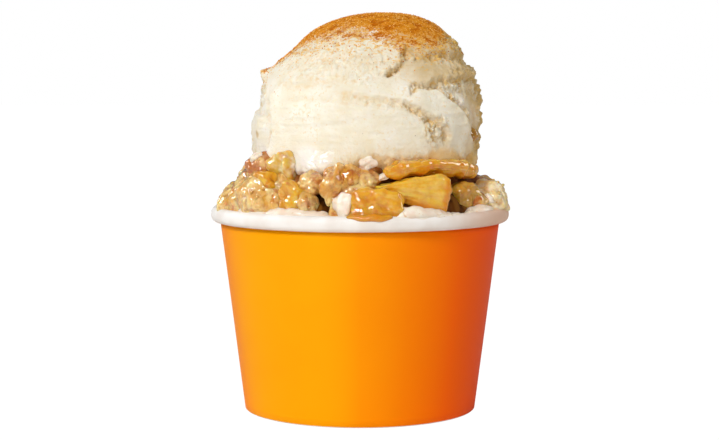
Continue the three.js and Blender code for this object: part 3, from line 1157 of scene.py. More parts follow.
@dataclass(frozen=True)
class ApplePiece:
    """A cut piece of stewed apple.

    `tone` goes from deep amber to pale, and `creamy` is how much cream is on it. An olive tint is partly the
    fruit's own colour and partly painted shade on pieces that lie in shadow.
    """

    name: str
    place: Place
    length: float
    width: float
    thickness: float
    bend: float = 0.15
    taper: float = 0.2
    fan: float = 0.0
    waist: float = 0.0
    tone: float = 0.5
    creamy: float = 0.0
    ridge: float = 0.0
    lumpy: float = 1.0
    bubbly: float = 0.3
    squareness: float = 3.4
    olive_and_painted_shade: float = 0.0
    browned: float = 1.0
    stringy: float = 1.0
    strand_sizes: tuple[float, float, float] = (2, 5, 8)
    cuts: int = 35

    def build(self, seed: float, finishes: Finishes) -> bpy.types.Object:
        """Builds the piece: soft edges, slumped faces and torn strands.

        Args:
            seed: Which uneven pattern it has.
            finishes: The shared finishes.

        Returns:
            The piece.
        """
        mesh = cut_cube(self.cuts)
        rims, faces = [], []
        grain = mesh.verts.layers.float_vector.new("grain")
        shift = Vector((seed, 2 * seed, 3 * seed)) * MM
        for vertex in mesh.verts:
            vertex[grain] = times(vertex.co, self.strand_sizes) * MM + shift
            rim, face = self._shape(vertex.co, seed)
            rims.append(rim)
            faces.append(face)
        keep_numbers(mesh, "rim", [self.browned * rim for rim in rims])
        keep_numbers(mesh, "face", faces)
        for name in ("tone", "creamy", "olive_and_painted_shade"):
            keep_numbers(mesh, name, float(getattr(self, name)))
        bmesh.ops.transform(mesh, matrix=self.place.matrix(), verts=mesh.verts)
        bmesh.ops.recalc_face_normals(mesh, faces=mesh.faces)
        return finish_piece(self.name + "_flesh", mesh, [finishes.apple], [self.name])

    def _shape(self, point: Vector, seed: float) -> tuple[float, float]:
        """Moves one corner of the cube to its place on the piece.

        Args:
            point: The corner, which is moved.
            seed: Which uneven pattern the piece has.

        Returns:
            How near the point is to a cut edge, and how much it lies on the lower face, which is painted
            deeper as shade.
        """
        power = self.squareness
        total = abs(point.x) ** power + abs(point.y) ** power + abs(point.z) ** power
        point /= total ** (1 / power)
        sizes = sorted(abs(value) for value in point)
        rim = smooth((sizes[1] - 0.58) / 0.3)
        along, lower = point.x, smooth((-point.z - 0.35) / 0.4)
        squared = along * along
        narrowed = self.taper * along * along
        full = (1 - narrowed) * (1 + self.fan * along) * (1 - self.waist * (1 - squared))
        through = point.y * (0.75 + 0.25 * point.z) * (1 - 0.5 * narrowed)
        across = point.z * full - self.bend * (squared - 0.3)
        direction = point.normalized()
        point.x = along * self.length / 2
        point.y = through * self.thickness / 2
        point.z = across * self.width / 2
        # The wedge's ridged end also takes the lower face's painted shade.
        lower = max(lower, self.ridge * smooth((along - 0.7) / 0.14))
        point.y -= self.ridge * smooth((along - 0.72) / 0.2)
        small = min(1.0, self.width / 9)
        lumps = small * (0.9 * uneven(point, 6, seed) + 0.9 * uneven(point, 3.1, seed + 4))
        strand = Vector((along * 2.2, through * 3, direction.z * 9))
        strands = 0.12 * self.stringy * uneven(strand, 1.6, seed + 7)
        bubbles = self.bubbly * uneven(point, 2.0, seed + 9) + 0.14 * uneven(point, 1.3, seed + 2)
        point += direction * (lumps * self.lumpy + strands + bubbles)
        return rim, lower


@dataclass(frozen=True)
class CrustPiece:
    """A crumbly lump of browned crust. `syrupy` and `creamy` are how much syrup and cream soaked in."""

    name: str
    place: Place
    length: float
    width: float
    thickness: float
    detail: int = 6
    syrupy: float = 0.45
    creamy: float = 0.0
    coarse: float = 1.0
    grown: float = 0.5

    def build(self, seed: float, finishes: Finishes) -> bpy.types.Object:
        """Builds the lump: an uneven ball of soft, soaked crumb.

        Args:
            seed: Which uneven pattern it has.
            finishes: The shared finishes.

        Returns:
            The piece.
        """
        mesh = bmesh.new()
        bmesh.ops.create_icosphere(mesh, subdivisions=self.detail, radius=1.0)
        crags = []
        half = Vector((self.length / 2, self.thickness / 2, self.width / 2))
        for vertex in mesh.verts:
            direction = vertex.co.copy()
            body = 1.0 + 0.3 * min(1.0, self.coarse) * uneven(direction, 0.62, seed)
            point = times(direction, half) * body
            bent = point + wandering(point, 2.4, seed)
            coarse = uneven(bent, 5.4, seed)
            middle = uneven(bent, 2.7, seed + 3)
            small = uneven(point, 1.2, seed + 11)
            push = self.coarse * (1.8 * coarse + 0.6 * middle) + 0.3 * small
            vertex.co = point + direction * (push + self.grown)
            crags.append(clamp(0.6 + 0.35 * coarse + 0.5 * middle + 0.4 * small))
        keep_numbers(mesh, "crag", crags)
        keep_numbers(mesh, "syrupy", float(self.syrupy))
        keep_numbers(mesh, "creamy", float(self.creamy))
        bmesh.ops.transform(mesh, matrix=self.place.matrix(), verts=mesh.verts)
        return finish_piece(self.name + "_crumb", mesh, [finishes.crust], [self.name])


APPLES = (
    ApplePiece("apple_slab_front", Place(-83.8, 43.1, 68.0, roll=2, tip=-24), 16, 10.4, 8.8, 0.05, 0.05,
               tone=0.35, squareness=3.8, lumpy=1.2, browned=0.4, stringy=1.5),
    ApplePiece("apple_wedge_front", Place(-66.2, 38.8, 71.7, -4, -6, 6.5), 24, 8.8, 9.6, 0, 0.05, 0.75,
               tone=0.9, squareness=3.8, lumpy=0.7, bubbly=0.14, ridge=0.9, browned=0.35, stringy=2.5),
    ApplePiece("apple_strip_under_scoop", Place(-51.5, 35.2, 78.4, turn=2, roll=1.5), 37.6, 7.8, 10.8,
               0.5, 0.0, 0.04, waist=0.35, tone=0.3, lumpy=0.9, bubbly=0.4, squareness=2.6, browned=0.5),
    ApplePiece("apple_chunk_left", Place(-119.8, 41.4, 69.8, roll=12, tip=-10), 9.6, 9.4, 10, 0.1, tone=0.5,
               creamy=0.15, lumpy=1.8, bubbly=0.6, squareness=2.8, olive_and_painted_shade=0.15, browned=1.4),
    ApplePiece("apple_chunk_folded", Place(-137.2, 39.2, 73.8, roll=14), 12, 7.6, 11, 0.3, tone=0.3,
               lumpy=1.8, squareness=2.8, browned=1.5),
    ApplePiece("apple_chunk_upper_left", Place(-129.6, 36.0, 79.0, turn=20, roll=8), 9, 8.4, 10, 0.1,
               tone=1.9, creamy=0.46, lumpy=2.2, bubbly=1.0, squareness=2.6, olive_and_painted_shade=0.34, browned=1.8),
    ApplePiece("apple_slice_right", Place(-32.8, 38.2, 68.6, turn=-12, roll=14), 10, 10.6, 10, 0.2,
               tone=0.4, creamy=0.1, lumpy=0.8, bubbly=0.4, squareness=3.0, olive_and_painted_shade=0.6),
    ApplePiece("apple_chunk_right_side", Place(12, 39.4, 68.8, turn=6, roll=-5), 19, 10, 12, 0.2, 0.3,
               tone=0.4),
    ApplePiece("apple_slice_right_side", Place(25, 34.2, 74.2, turn=4, roll=8), 20.5, 7, 12, 0.4, tone=0.6),
    ApplePiece("apple_wedge_back_right", Place(64, 39, 69.6, turn=-6, roll=8), 21, 11.5, 11, 0.15, 0.2, 0.3),
    ApplePiece("apple_strip_back", Place(86, 35.6, 77.6, turn=4, roll=5), 31, 7.6, 12, 0.5,
               waist=0.25, tone=0.4),
    ApplePiece("apple_wedge_back_left", Place(117, 39, 69.8, roll=7, tip=-8), 22, 12, 11, 0.1, 0.2, -0.35,
               tone=0.7, creamy=0.15),
    ApplePiece("apple_chunk_left_side", Place(169, 38.0, 67.4, turn=4, roll=-6), 22, 9.6, 11, 0.2, 0.3,
               tone=0.35, lumpy=0.7),
)

CRUSTS = (
    CrustPiece("crust_lump_right", Place(-13.6, 42.0, 68.2, roll=8), 13, 10.6, 12.4, syrupy=-0.2, creamy=0.58,
               coarse=0.8),
    CrustPiece("crust_crumb_centre", Place(-86.5, 36.6, 75.6), 7.4, 5.4, 9, 5, 0.7, 0.1, 0.7),
    CrustPiece("crust_nugget_syrupy", Place(-95.2, 37.2, 76.4), 6.6, 6.8, 9, 5, 1.0, 0.0, 0.6),
    CrustPiece("crust_lump_centre", Place(-101.2, 38.8, 74, roll=12), 6.6, 12.4, 10, 6, 0.55, 0.1, 0.8),
    CrustPiece("crust_crumb_upper", Place(-113.2, 38.6, 73.8), 6.8, 7.0, 8.4, 5, 0.45, 0.1, 0.9),
    CrustPiece("crust_crumb_front", Place(-112.2, 41.6, 68.0), 4.4, 7.2, 7, 5, 0.2, 0.3, 0.6),
    CrustPiece("crust_lump_left", Place(-140, 40.4, 69.2, tip=180, roll=10), 13, 12, 13, 6, 0.3, 0.2, 0.75),
    CrustPiece("crust_lump_left_outer", Place(-161.5, 40.3, 67.2, roll=-14), 13.4, 9.8, 12,
               6, 0.3, 0.15, 0.8, 0.4),
    CrustPiece("crust_lump_upper_left", Place(-144.5, 36.6, 78.6, roll=-12), 8.4, 6.6, 9,
               6, 1.6, 0.05, 0.55, 0.9),
    CrustPiece("crust_lump_left_back", Place(179, 34.6, 73.6, roll=5), 14, 8, 9.4, 6, 0.6, 0.0, 0.9, 0.1),
    CrustPiece("crust_lump_back_left", Place(143.5, 40.2, 68.8, roll=-5), 18, 11.5, 12, syrupy=0.3),
    CrustPiece("crust_lump_upper_back", Place(122, 35.8, 77.2, roll=10), 15, 9.5, 12, syrupy=0.5, creamy=0.3),
    CrustPiece("crust_lump_high_left_back", Place(150, 36, 76.4, roll=-14), 13, 9, 11, syrupy=0.7),
    CrustPiece("crust_lump_back", Place(90, 40.2, 68.4, roll=4), 15, 11.5, 12, syrupy=0.25, creamy=0.3),
    CrustPiece("crust_lump_upper_right", Place(53, 35.8, 76.6, roll=-8), 12, 9, 11, syrupy=0.8),
    CrustPiece("crust_lump_right_back", Place(38, 40.4, 68.2, roll=-6), 15, 11, 12, syrupy=0.35, creamy=0.2),
    CrustPiece("crust_lump_high_right", Place(-9, 34.2, 72.4, roll=10), 9, 6.6, 8.6, syrupy=0.6),
)


@dataclass(frozen=True)
class Hollow:
    """A place where the soft mass lies further back, by its bearing from +X."""

    bearing: float
    height: float
    half_width: float
    half_height: float
    depth: float

    def set_back(self, bearing: float, height: float, radius: float) -> float:
        """How far the mass lies back at a place.

        Args:
            bearing: The place's bearing in degrees.
            height: Its height.
            radius: The mass's radius there.

        Returns:
            The distance inwards.
        """
        sideways = math.radians(wrapped(bearing - self.bearing)) * radius / self.half_width
        upwards = (height - self.height) / self.half_height
        return self.depth * smooth(PATCH_EDGE - PATCH_EDGE * math.hypot(sideways, upwards))


@dataclass
class SoakedCrumb:
    """The soft mass of crumb and syrup that the apple and the crust are bedded in."""

    outline: tuple[tuple[float, float], ...] = (
        (43.2, 62.0), (43.4, 66.5), (43.6, 68.4), (43.2, 70.6),
        (41.6, 74.0), (39.4, 77.0), (36.6, 79.2), (33.0, 80.4),
    )
    hollows: tuple[Hollow, ...] = (
        Hollow(-46, 70, 13, 11, 9),
        Hollow(-66, 77, 17, 6, 4),
        Hollow(-74, 69, 16, 8, 4.5),
        Hollow(-107.2, 70.6, 4.4, 10, 10),
        Hollow(-156, 66, 15, 7, -1.6),
        Hollow(178, 77, 20, 7, 3.0),
        Hollow(-134, 67, 9, 6, -1.4),
        Hollow(-119.6, 69.8, 6, 6.5, 1.8),
        Hollow(-135.5, 78.6, 3, 2.4, 1.6),
        Hollow(-130.5, 76, 3.2, 2.4, 1.6),
        Hollow(-125.5, 73.2, 3, 2.6, 1.6),
        Hollow(-100, 76, 7, 4, -1.2),
        Hollow(-22, 75, 12, 7, 5),
        Hollow(2, 79, 20, 6, 5),
        Hollow(-122, 77, 3.4, 3.4, 3.5),
        Hollow(-112, 80, 12, 4, 4.5),
        Hollow(22, 71, 12, 8, 3),
        Hollow(78, 72, 14, 8, 3),
        Hollow(120, 71, 10, 7, 2.5),
        Hollow(166, 71, 8, 7, 2.5),
    )
    lip_top: float = 66.0
    spacing: float = 0.55
    steps: int = 500

    def build(self, finishes: Finishes) -> None:
        """Builds the mass.

        Args:
            finishes: The shared finishes.
        """
        section = [(0.0, self.outline[0][1])]
        for (r0, z0), (r1, z1) in zip(self.outline, self.outline[1:]):
            count = max(1, round(math.hypot(r1 - r0, z1 - z0) / self.spacing))
            section += [(r0 + (r1 - r0) * i / count, z0 + (z1 - z0) * i / count) for i in range(count)]
        section += [self.outline[-1], (0.0, self.outline[-1][1])]
        mesh = spun(section, self.steps, closed=False)
        crags, wet, deep = [], [], []
        for vertex in mesh.verts:
            point = vertex.co
            away = from_axis(point)
            if away < self.outline[-1][0] - 1:
                crags.append(0.5)
                wet.append(0.5)
                deep.append(0.0)
                continue
            bearing = math.degrees(math.atan2(point.y, point.x))
            back = sum(hollow.set_back(bearing, point.z, away) for hollow in self.hollows)
            bent = point + wandering(point, 3, 41)
            coarse = uneven(bent, 5, 44)
            middle = uneven(bent, 2.4, 45)
            small = uneven(point, 1.2, 46)
            above_lip = smooth((point.z - self.lip_top) / 2)
            push = above_lip * (1.5 * coarse + 0.7 * middle + 0.34 * small) - back
            widen(point, 1 + push / away)
            # Crag values drop where the mass is set back, so painted shade browns its hollows.
            crags.append(clamp(0.6 + 0.3 * coarse + 0.5 * middle + 0.4 * small - 0.12 * back))
            soaked = 0.8 + 1.2 * uneven(point, 7, 48) + 0.3 * min(back, 2.0)
            wet.append(clamp(soaked, 0.0, 1.6))
            # How strong the painted shade is where the mass lies far back.
            deep.append(clamp((back - 2) / 2.5))
        keep_numbers(mesh, "crag", crags)
        keep_numbers(mesh, "syrupy", wet)
        keep_numbers(mesh, "deep", deep)
        keep_numbers(mesh, "creamy", 0.0)
        finish_piece("soaked_crumb", mesh, [finishes.crust])


@dataclass(frozen=True)
class Spill:
    """Where more melted ice cream has run down, by its bearing from +X."""

    bearing: float
    spread: float
    outwards: float
    upwards: float
    widening: float

    def share(self, bearing: float) -> float:
        """How much the spill acts at a bearing in radians."""
        return math.exp(-(((math.degrees(bearing) - self.bearing) / self.spread) ** 2))


@dataclass
class MeltedRing:
    """Melted ice cream in the corner between the heap and the lip, which it laps over in places."""

    radius: float = 41.6
    height: float = 62.3
    width: float = 4.8
    depth: float = 4.2
    spills: tuple[Spill, ...] = (
        Spill(-68, 15, 2.8, 3.4, 1.8),
        Spill(-118, 16, 2.2, 3.0, 0.8),
        Spill(-141, 8, 1.6, 2.8, 0.8),
        Spill(-28, 12, 1.6, 2.6, 0.8),
        Spill(104, 22, 2.4, 2.6, 1.4),
        Spill(28, 14, 1.4, 2.2, 0.6),
    )
    steps: int = 420
    sides: int = 28

    def build(self, finishes: Finishes) -> None:
        """Builds the ring.

        Args:
            finishes: The shared finishes.
        """
        angles = [math.tau * i / self.sides for i in range(self.sides)]
        section = [(1 + 0.5 * math.cos(a), 0.5 * math.sin(a)) for a in angles]
        mesh = spun(section, self.steps, closed=True)
        for vertex in mesh.verts:
            self._shape(vertex.co)
        finish_piece("melted_pool", mesh, [finishes.melted_cream], ["melted_cream"])

    def _shape(self, point: Vector) -> None:
        """Moves one point of a plain ring to its place.

        Args:
            point: The point, which is moved.
        """
        bearing = math.atan2(point.y, point.x)
        across = (from_axis(point) - 1) / 0.5
        up = point.z / 0.5
        around = Vector((math.cos(bearing), math.sin(bearing), 0)) * self.radius
        outwards, upwards, widening = (
            sum(getattr(spill, name) * spill.share(bearing) for spill in self.spills)
            for name in ("outwards", "upwards", "widening")
        )
        swell = 1 + 0.2 * uneven(around, 9, 5)
        radius = self.radius + outwards + across * (self.width + widening) / 2 * swell
        height = self.height + upwards + up * self.depth * swell / 2
        point.x, point.y, point.z = radius * math.cos(bearing), radius * math.sin(bearing), height
        upper = smooth(up + 0.3)
        point.z += upper * (0.9 * uneven(point, 4.5, 6) + 0.5 * uneven(point, 1.8, 9))


class Mark(Enum):
    """What a line does to the scoop's surface."""

    LAYER = "the layer above stands proud of the one below"
    CRACK = "a torn groove"
    RIDGE = "a raised edge"


@dataclass(frozen=True)
class Line:
    """A line on the scoop, through points of bearing from the front and height.

    A layer with a negative size lies back above the line and stands proud below it.
    """

    mark: Mark
    size: float
    reach: float
    points: tuple[tuple[float, float], ...]
    tearing: float = 0.8
    fade: float = 5.0
    usual_radius: float = 33.0

    def measure(
        self,
        bearing: np.ndarray,
        height: np.ndarray,
        radius: np.ndarray,
    ) -> tuple[np.ndarray, np.ndarray]:
        """How far places are from the line.

        Args:
            bearing: The places' bearings, in degrees.
            height: Their heights.
            radius: How far they are from the scoop's axis.

        Returns:
            The distances, positive above the line, and how strong the line is at each place.
        """
        best = np.full(len(bearing), 1e9)
        sign = np.ones(len(bearing))
        strength = np.zeros(len(bearing))
        steps = [
            math.hypot(math.radians(b1 - b0) * self.usual_radius, h1 - h0)
            for (b0, h0), (b1, h1) in zip(self.points, self.points[1:])
        ]
        before, total = 0.0, sum(steps)
        middle = (self.points[0][0] + self.points[-1][0]) / 2
        turned = middle + wrapped(bearing - middle)
        for (b0, h0), (b1, h1), step in zip(self.points, self.points[1:], steps):
            ax, az = np.radians(b0 - turned) * radius, h0 - height
            dx, dz = np.radians(b1 - b0) * radius, h1 - h0
            share = np.clip(-(ax * dx + az * dz) / np.maximum(dx * dx + dz * dz, 1e-9), 0, 1)
            away = np.hypot(ax + share * dx, az + share * dz)
            nearer = away < best
            best = np.where(nearer, away, best)
            sign = np.where(nearer, np.where(ax * dz - az * dx >= 0, 1, -1), sign)
            place = before + share * step
            ends = np.minimum(place, total - place) / self.fade
            strength = np.where(nearer, ends, strength)
            before += step
        return best * sign, smooth_all(strength + 0.02)

    def push(self, away: np.ndarray, strength: np.ndarray, rough: np.ndarray) -> np.ndarray:
        """How far the line moves the surface.

        Args:
            away: The places' distances from the line.
            strength: How strong the line is at each.
            rough: An uneven value at each.

        Returns:
            The distances outwards.
        """
        if self.mark is Mark.LAYER:
            side = self._side(away)
            proud = np.exp(-((side / self.reach) ** 2)) * np.clip(side / 0.5, 0, 1)
            back = np.exp(-((side / (0.45 * self.reach)) ** 2)) * np.clip(-side / 0.5, 0, 1)
            return strength * abs(self.size) * (proud - 0.65 * back)
        shape = np.exp(-((away / self.reach) ** 2)) * (0.85 + 0.5 * rough)
        return strength * shape * (self.size if self.mark is Mark.RIDGE else -self.size)

    def tear(self, away: np.ndarray, strength: np.ndarray) -> np.ndarray:
        """How torn the surface is along the line.

        Args:
            away: The places' distances from the line.
            strength: How strong the line is at each.

        Returns:
            From 0 to 1.
        """
        if self.mark is Mark.RIDGE:
            return np.zeros(len(away))
        middle = -1.3 if self.mark is Mark.LAYER else 0.0
        return self.tearing * strength * smooth_all(1.1 - np.abs(self._side(away) - middle) / 2.0)

    def shade(self, away: np.ndarray, strength: np.ndarray) -> np.ndarray:
        """How much painted shade darkens the surface along the line's deepest part, under a layer's edge or
        in a crack.

        Args:
            away: The places' distances from the line.
            strength: How strong the line is at each.

        Returns:
            From 0 to 1.
        """
        if self.mark is Mark.RIDGE:
            return np.zeros(len(away))
        middle, reach = (-0.7, 0.7) if self.mark is Mark.LAYER else (0.0, 0.8 * self.reach)
        return self.tearing * strength * np.exp(-(((self._side(away) - middle) / reach) ** 2))

    def _side(self, away: np.ndarray) -> np.ndarray:
        """The distances from the line, positive on the side that stands proud."""
        return away if self.size > 0 else -away


@dataclass(frozen=True)
class Tip:
    """A torn tip that stands out of the scoop: sloping above and cut in sharply below."""

    bearing: float
    height: float
    reach: float
    half_width: float
    above: float
    below: float

    def push(self, bearing: np.ndarray, height: np.ndarray, radius: float) -> np.ndarray:
        """How far the tip moves the surface.

        Args:
            bearing: The places' bearings, in degrees.
            height: Their heights.
            radius: The scoop's radius.

        Returns:
            The distances outwards.
        """
        sideways = np.radians(wrapped(bearing - self.bearing)) * radius / self.half_width
        up = height - self.height
        upwards = up / np.where(up > 0, self.above, self.below)
        return self.reach * np.exp(-(sideways ** 2 + upwards ** 2))


@dataclass(frozen=True)
class Patch:
    """A soft-edged patch of the scoop's surface."""

    bearing: float
    height: float
    half_width: float
    half_height: float
    amount: float = 1.0

    def share(self, bearing: np.ndarray, height: np.ndarray, radius: float) -> np.ndarray:
        """How much places are in the patch.

        Args:
            bearing: The places' bearings, in degrees.
            height: Their heights.
            radius: The scoop's radius.

        Returns:
            From 0 outside to 1 in the middle.
        """
        sideways = np.radians(wrapped(bearing - self.bearing)) * radius / self.half_width
        upwards = (height - self.height) / self.half_height
        return self.amount * smooth_all(PATCH_EDGE - PATCH_EDGE * np.hypot(sideways, upwards))


@dataclass
class Scoop:
    """The scoop of vanilla ice cream: a dome over a squarer skirt, leaning to the right at its top."""

    centre: tuple[float, float, float] = (2.3, 0.5, 88.2)
    radius: float = 36.8
    rise: float = 38.8
    skirt_depth: float = 17.5
    dome_squareness: float = 2.3
    skirt_squareness: float = 3.2
    lean: float = 4.4
    lean_curve: float = 1.6
    cuts: int = 125
    lines: tuple[Line, ...] = (
        Line(
            Mark.LAYER, 1.2, 5,
            ((12, 115.2), (31, 113.8), (49, 113.8), (75, 114.2), (98, 113.4), (118, 112)),
        ),
        Line(Mark.CRACK, 1.3, 0.9, ((20, 116), (17, 112.6), (14.5, 110), (11, 108.4), (7, 107.3)), 1.0, 1.0),
        Line(Mark.CRACK, 1.0, 1.5, ((20, 114.4), (17, 112.8)), 1.0, 0.6),
        Line(Mark.CRACK, 1.0, 1.4, ((12, 108.6), (7, 107.2)), 1.0, 0.6),
        Line(Mark.LAYER, 1.0, 3, ((4, 106.6), (11, 108.2), (14.5, 110), (17, 112.6), (20, 115)), 0.2, 2.0),
        Line(Mark.LAYER, 1.1, 4, ((18, 104.2), (35, 105.4), (54, 106.1), (66, 106.7), (100, 107)), 1.0),
        Line(Mark.LAYER, 0.6, 5, ((-18, 102.4), (-7, 101.3), (3, 100.1), (12, 99.5), (20, 100.1)), 0.45),
        Line(
            Mark.LAYER, -1.4, 5,
            ((17, 99.4), (25, 102.4), (31, 102.7), (38, 100.9), (45, 98.2), (51, 95.6), (56, 92.3), (61, 86)),
            1.0,
        ),
        Line(Mark.RIDGE, 0.6, 0.9, ((30, 102.0), (38, 100.2), (45, 97.4), (51, 94.6), (55, 91)), fade=2),
        Line(
            Mark.LAYER, 1.5, 4,
            ((10, 99.4), (18, 99.0), (22, 97.7), (28, 95.3), (32, 93.5), (37, 91.6), (41, 89.2), (43, 84)),
            1.0,
        ),
        Line(Mark.RIDGE, 1.2, 1.0, ((54, 97), (59, 92), (61, 87), (59, 81)), fade=3),
        Line(Mark.CRACK, 0.8, 0.8, ((60, 99), (65, 93), (66.5, 87), (64, 80)), 0.0, 3.0),
        Line(Mark.RIDGE, 1.3, 1.1, ((64, 100), (70, 96), (73, 90), (74, 82)), fade=3),
        Line(
            Mark.LAYER, 1.1, 4,
            ((-64, 101), (-58, 98), (-54, 94), (-52, 89), (-53, 84), (-57, 78)),
            0.4, 3.0,
        ),
        Line(Mark.LAYER, -0.9, 7, ((-150, 99), (-118, 97.6), (-90, 96.4), (-76, 95.2), (-60, 94)), 0.2, 4.0),
        Line(Mark.LAYER, 0.16, 4, ((-48, 91), (-23, 92.3), (-4, 94), (15, 94.7), (25, 93.6)), 0.0),
        Line(Mark.LAYER, -0.35, 4, ((-50, 98), (-30, 99), (-12, 98), (6, 97)), 0.2),
        Line(Mark.LAYER, 0.4, 3, ((-62, 106), (-44, 104.6), (-26, 105.8), (-12, 105)), 0.3),
        Line(Mark.LAYER, 1.7, 6, ((118, 94), (150, 97), (178, 95), (200, 98.5), (230, 96))),
        Line(Mark.LAYER, 1.5, 6, ((150, 112), (195, 110), (230, 111.5), (262, 109.8))),
        Line(Mark.CRACK, 1.3, 0.9, ((128, 106), (142, 103.6), (160, 105.4), (176, 102)), 1.0, 2.0),
        Line(Mark.RIDGE, 0.6, 0.9, ((205, 92), (216, 88.6), (232, 87.4), (246, 89)), fade=3),
        Line(Mark.LAYER, -1.2, 5, ((92, 101), (108, 104), (126, 102.4), (142, 99.6))),
        Line(Mark.LAYER, 1.0, 4, ((100, 88), (116, 90.4), (134, 88.6), (150, 86))),
    )
    dust_edge: tuple[tuple[float, float], ...] = (
        (-180, 117.5), (-152, 112.4), (-124, 108.6), (-106, 107.0), (-92, 106.2), (-84, 107.2),
        (-76, 110), (-63, 112.8), (-52, 115.4), (-44, 117), (-25, 118.2), (-3, 117.6), (24, 116),
        (40, 115.2), (60, 117.6), (75, 120.5), (100, 120), (140, 118), (180, 117.5),
    )
    dust_fade: float = 21.0
    thin_dust: Patch = Patch(-76, 111, 22, 10, 0.08)
    tan_dot: Patch = Patch(-68, 88.4, 1.7, 1.7, 0.9)
    clean_foot: Patch = Patch(-27, 78, 15, 14)
    # Patches of fresh white melt, partly painted light on the front ledge and the tongue's bead.
    milky_and_painted_light: tuple[Patch, ...] = (
        Patch(-27, 80, 13, 8, 0.8),
        Patch(-60, 84, 9, 7, 0.6),
        Patch(64, 90, 5, 10, 0.4),
        Patch(52, 98.6, 2.4, 2.2, 0.8),
    )
    tips: tuple[Tip, ...] = (
        Tip(-88, 107.0, 2.6, 3.4, 2.0, 1.6),
        Tip(51, 98.6, 1.2, 1.3, 1.2, 1.3),
        Tip(92, 114.5, -2.6, 22, 8, 8),
        Tip(-90, 115.5, -2.2, 20, 6, 6),
        Tip(-90, 99.5, -2.3, 15, 5, 6),
        Tip(90, 99, -1.0, 14, 5, 6),
        Tip(90, 84, -1.6, 16, 8, 8),
        Tip(-30, 79.0, 3.6, 8, 5, 3.5),
        Tip(-12, 79.0, 2.4, 6, 4, 3),
        Tip(-52, 81.0, 1.8, 5, 4, 3),
        Tip(128, 79.5, 2.4, 8, 5, 3),
        Tip(168, 78.5, 3.0, 9, 6, 3),
        Tip(-138, 79.5, 2.6, 8, 5, 3),
        Tip(-100, 79.0, 2.0, 6, 4, 3),
        Tip(84, 99, 1.2, 3, 1.6, 1.0),
        Tip(88, 92, 1.0, 3, 1.4, 1.2),
        Tip(168, 104, 1.8, 6.0, 3.0, 1.4),
    )
    torn: tuple[Patch, ...] = (
        Patch(84, 102, 16, 15),
        Patch(74, 91, 11, 10, 0.8),
        Patch(48, 104, 15, 3.4),
        Patch(34, 90, 5, 6),
        Patch(-27, 77.5, 13, 4, 0.6),
        Patch(64, 117, 16, 5),
        Patch(-84, 101, 12, 7, 0.8),
        Patch(-92, 86, 13, 9, 0.6),
        Patch(-34, 112, 26, 10, 0.45),
        Patch(-8, 109, 16, 9, 0.35),
        Patch(70, 106, 26, 8, 0.8),
        Patch(170, 99, 24, 9),
        Patch(-140, 104, 18, 8),
        Patch(122, 110, 14, 8),
    )

    def build(self, finishes: Finishes) -> bpy.types.Object:
        """Builds the scoop.

        Args:
            finishes: The shared finishes.

        Returns:
            The scoop.
        """
        mesh = cut_cube(self.cuts)
        corners = np.array([vertex.co for vertex in mesh.verts])
        directions = np.tan(corners * math.pi / 4)
        directions /= np.linalg.norm(directions, axis=1)[:, None]
        places, torn, pit_shade = self._shape(directions)
        for vertex, place in zip(mesh.verts, places.tolist()):
            vertex.co = place
        bearing = np.degrees(np.arctan2(places[:, 0] - self.centre[0], self.centre[1] - places[:, 1]))
        kept = {
            "dusted": self._dusting(places, bearing),
            "torn": torn,
            "pit_shade": pit_shade,
            "tinted": self._staining(places, bearing),
            "painted_shade_and_melt": self._painted_shade_and_melt_shares(places, bearing),
            "milky_and_painted_light": self._milkiness_and_painted_light(places, bearing),
        }
        for name, values in kept.items():
            keep_numbers(mesh, name, values.tolist())
        bmesh.ops.recalc_face_normals(mesh, faces=mesh.faces)
        return finish_piece("scoop", mesh, [finishes.ice_cream], ["ice_cream_scoop"])

    def _shape(self, directions: np.ndarray) -> tuple[np.ndarray, np.ndarray, np.ndarray]:
        """Works out the scoop's surface.

        Args:
            directions: Directions from its middle.

        Returns:
            The surface's points in the cup's frame, how torn it is at each, and how much painted shade lies
            in its cracks and pits.
        """
        level = np.hypot(directions[:, 0], directions[:, 1])
        below = directions[:, 2] < 0
        power = np.where(below, self.skirt_squareness, self.dome_squareness)
        depth = np.where(below, self.skirt_depth, self.rise)
        rounded = (level / self.radius) ** power + (np.abs(directions[:, 2]) / depth) ** power
        radius = rounded ** (-1 / power)
        spots = directions * radius[:, None]
        bearing = np.degrees(np.arctan2(directions[:, 0], -directions[:, 1]))
        height = self.centre[2] + spots[:, 2]
        rough = uneven_all(spots, 2.6, 1)
        wander = 0.8 * uneven_all(spots, 4.5, 8) + 0.45 * rough + 0.2 * uneven_all(spots, 1.2, 3)
        torn = np.max([patch.share(bearing, height, self.radius) for patch in self.torn], axis=0)
        torn = torn * np.clip(0.9 + 0.8 * uneven_all(spots, 4.2, 9), 0.15, 1)
        push = np.zeros(len(spots))
        pit_shade = np.zeros(len(spots))
        for line in self.lines:
            away, strength = line.measure(bearing, height, level * radius)
            away = away + wander
            push += line.push(away, strength, rough)
            torn = np.maximum(torn, line.tear(away, strength))
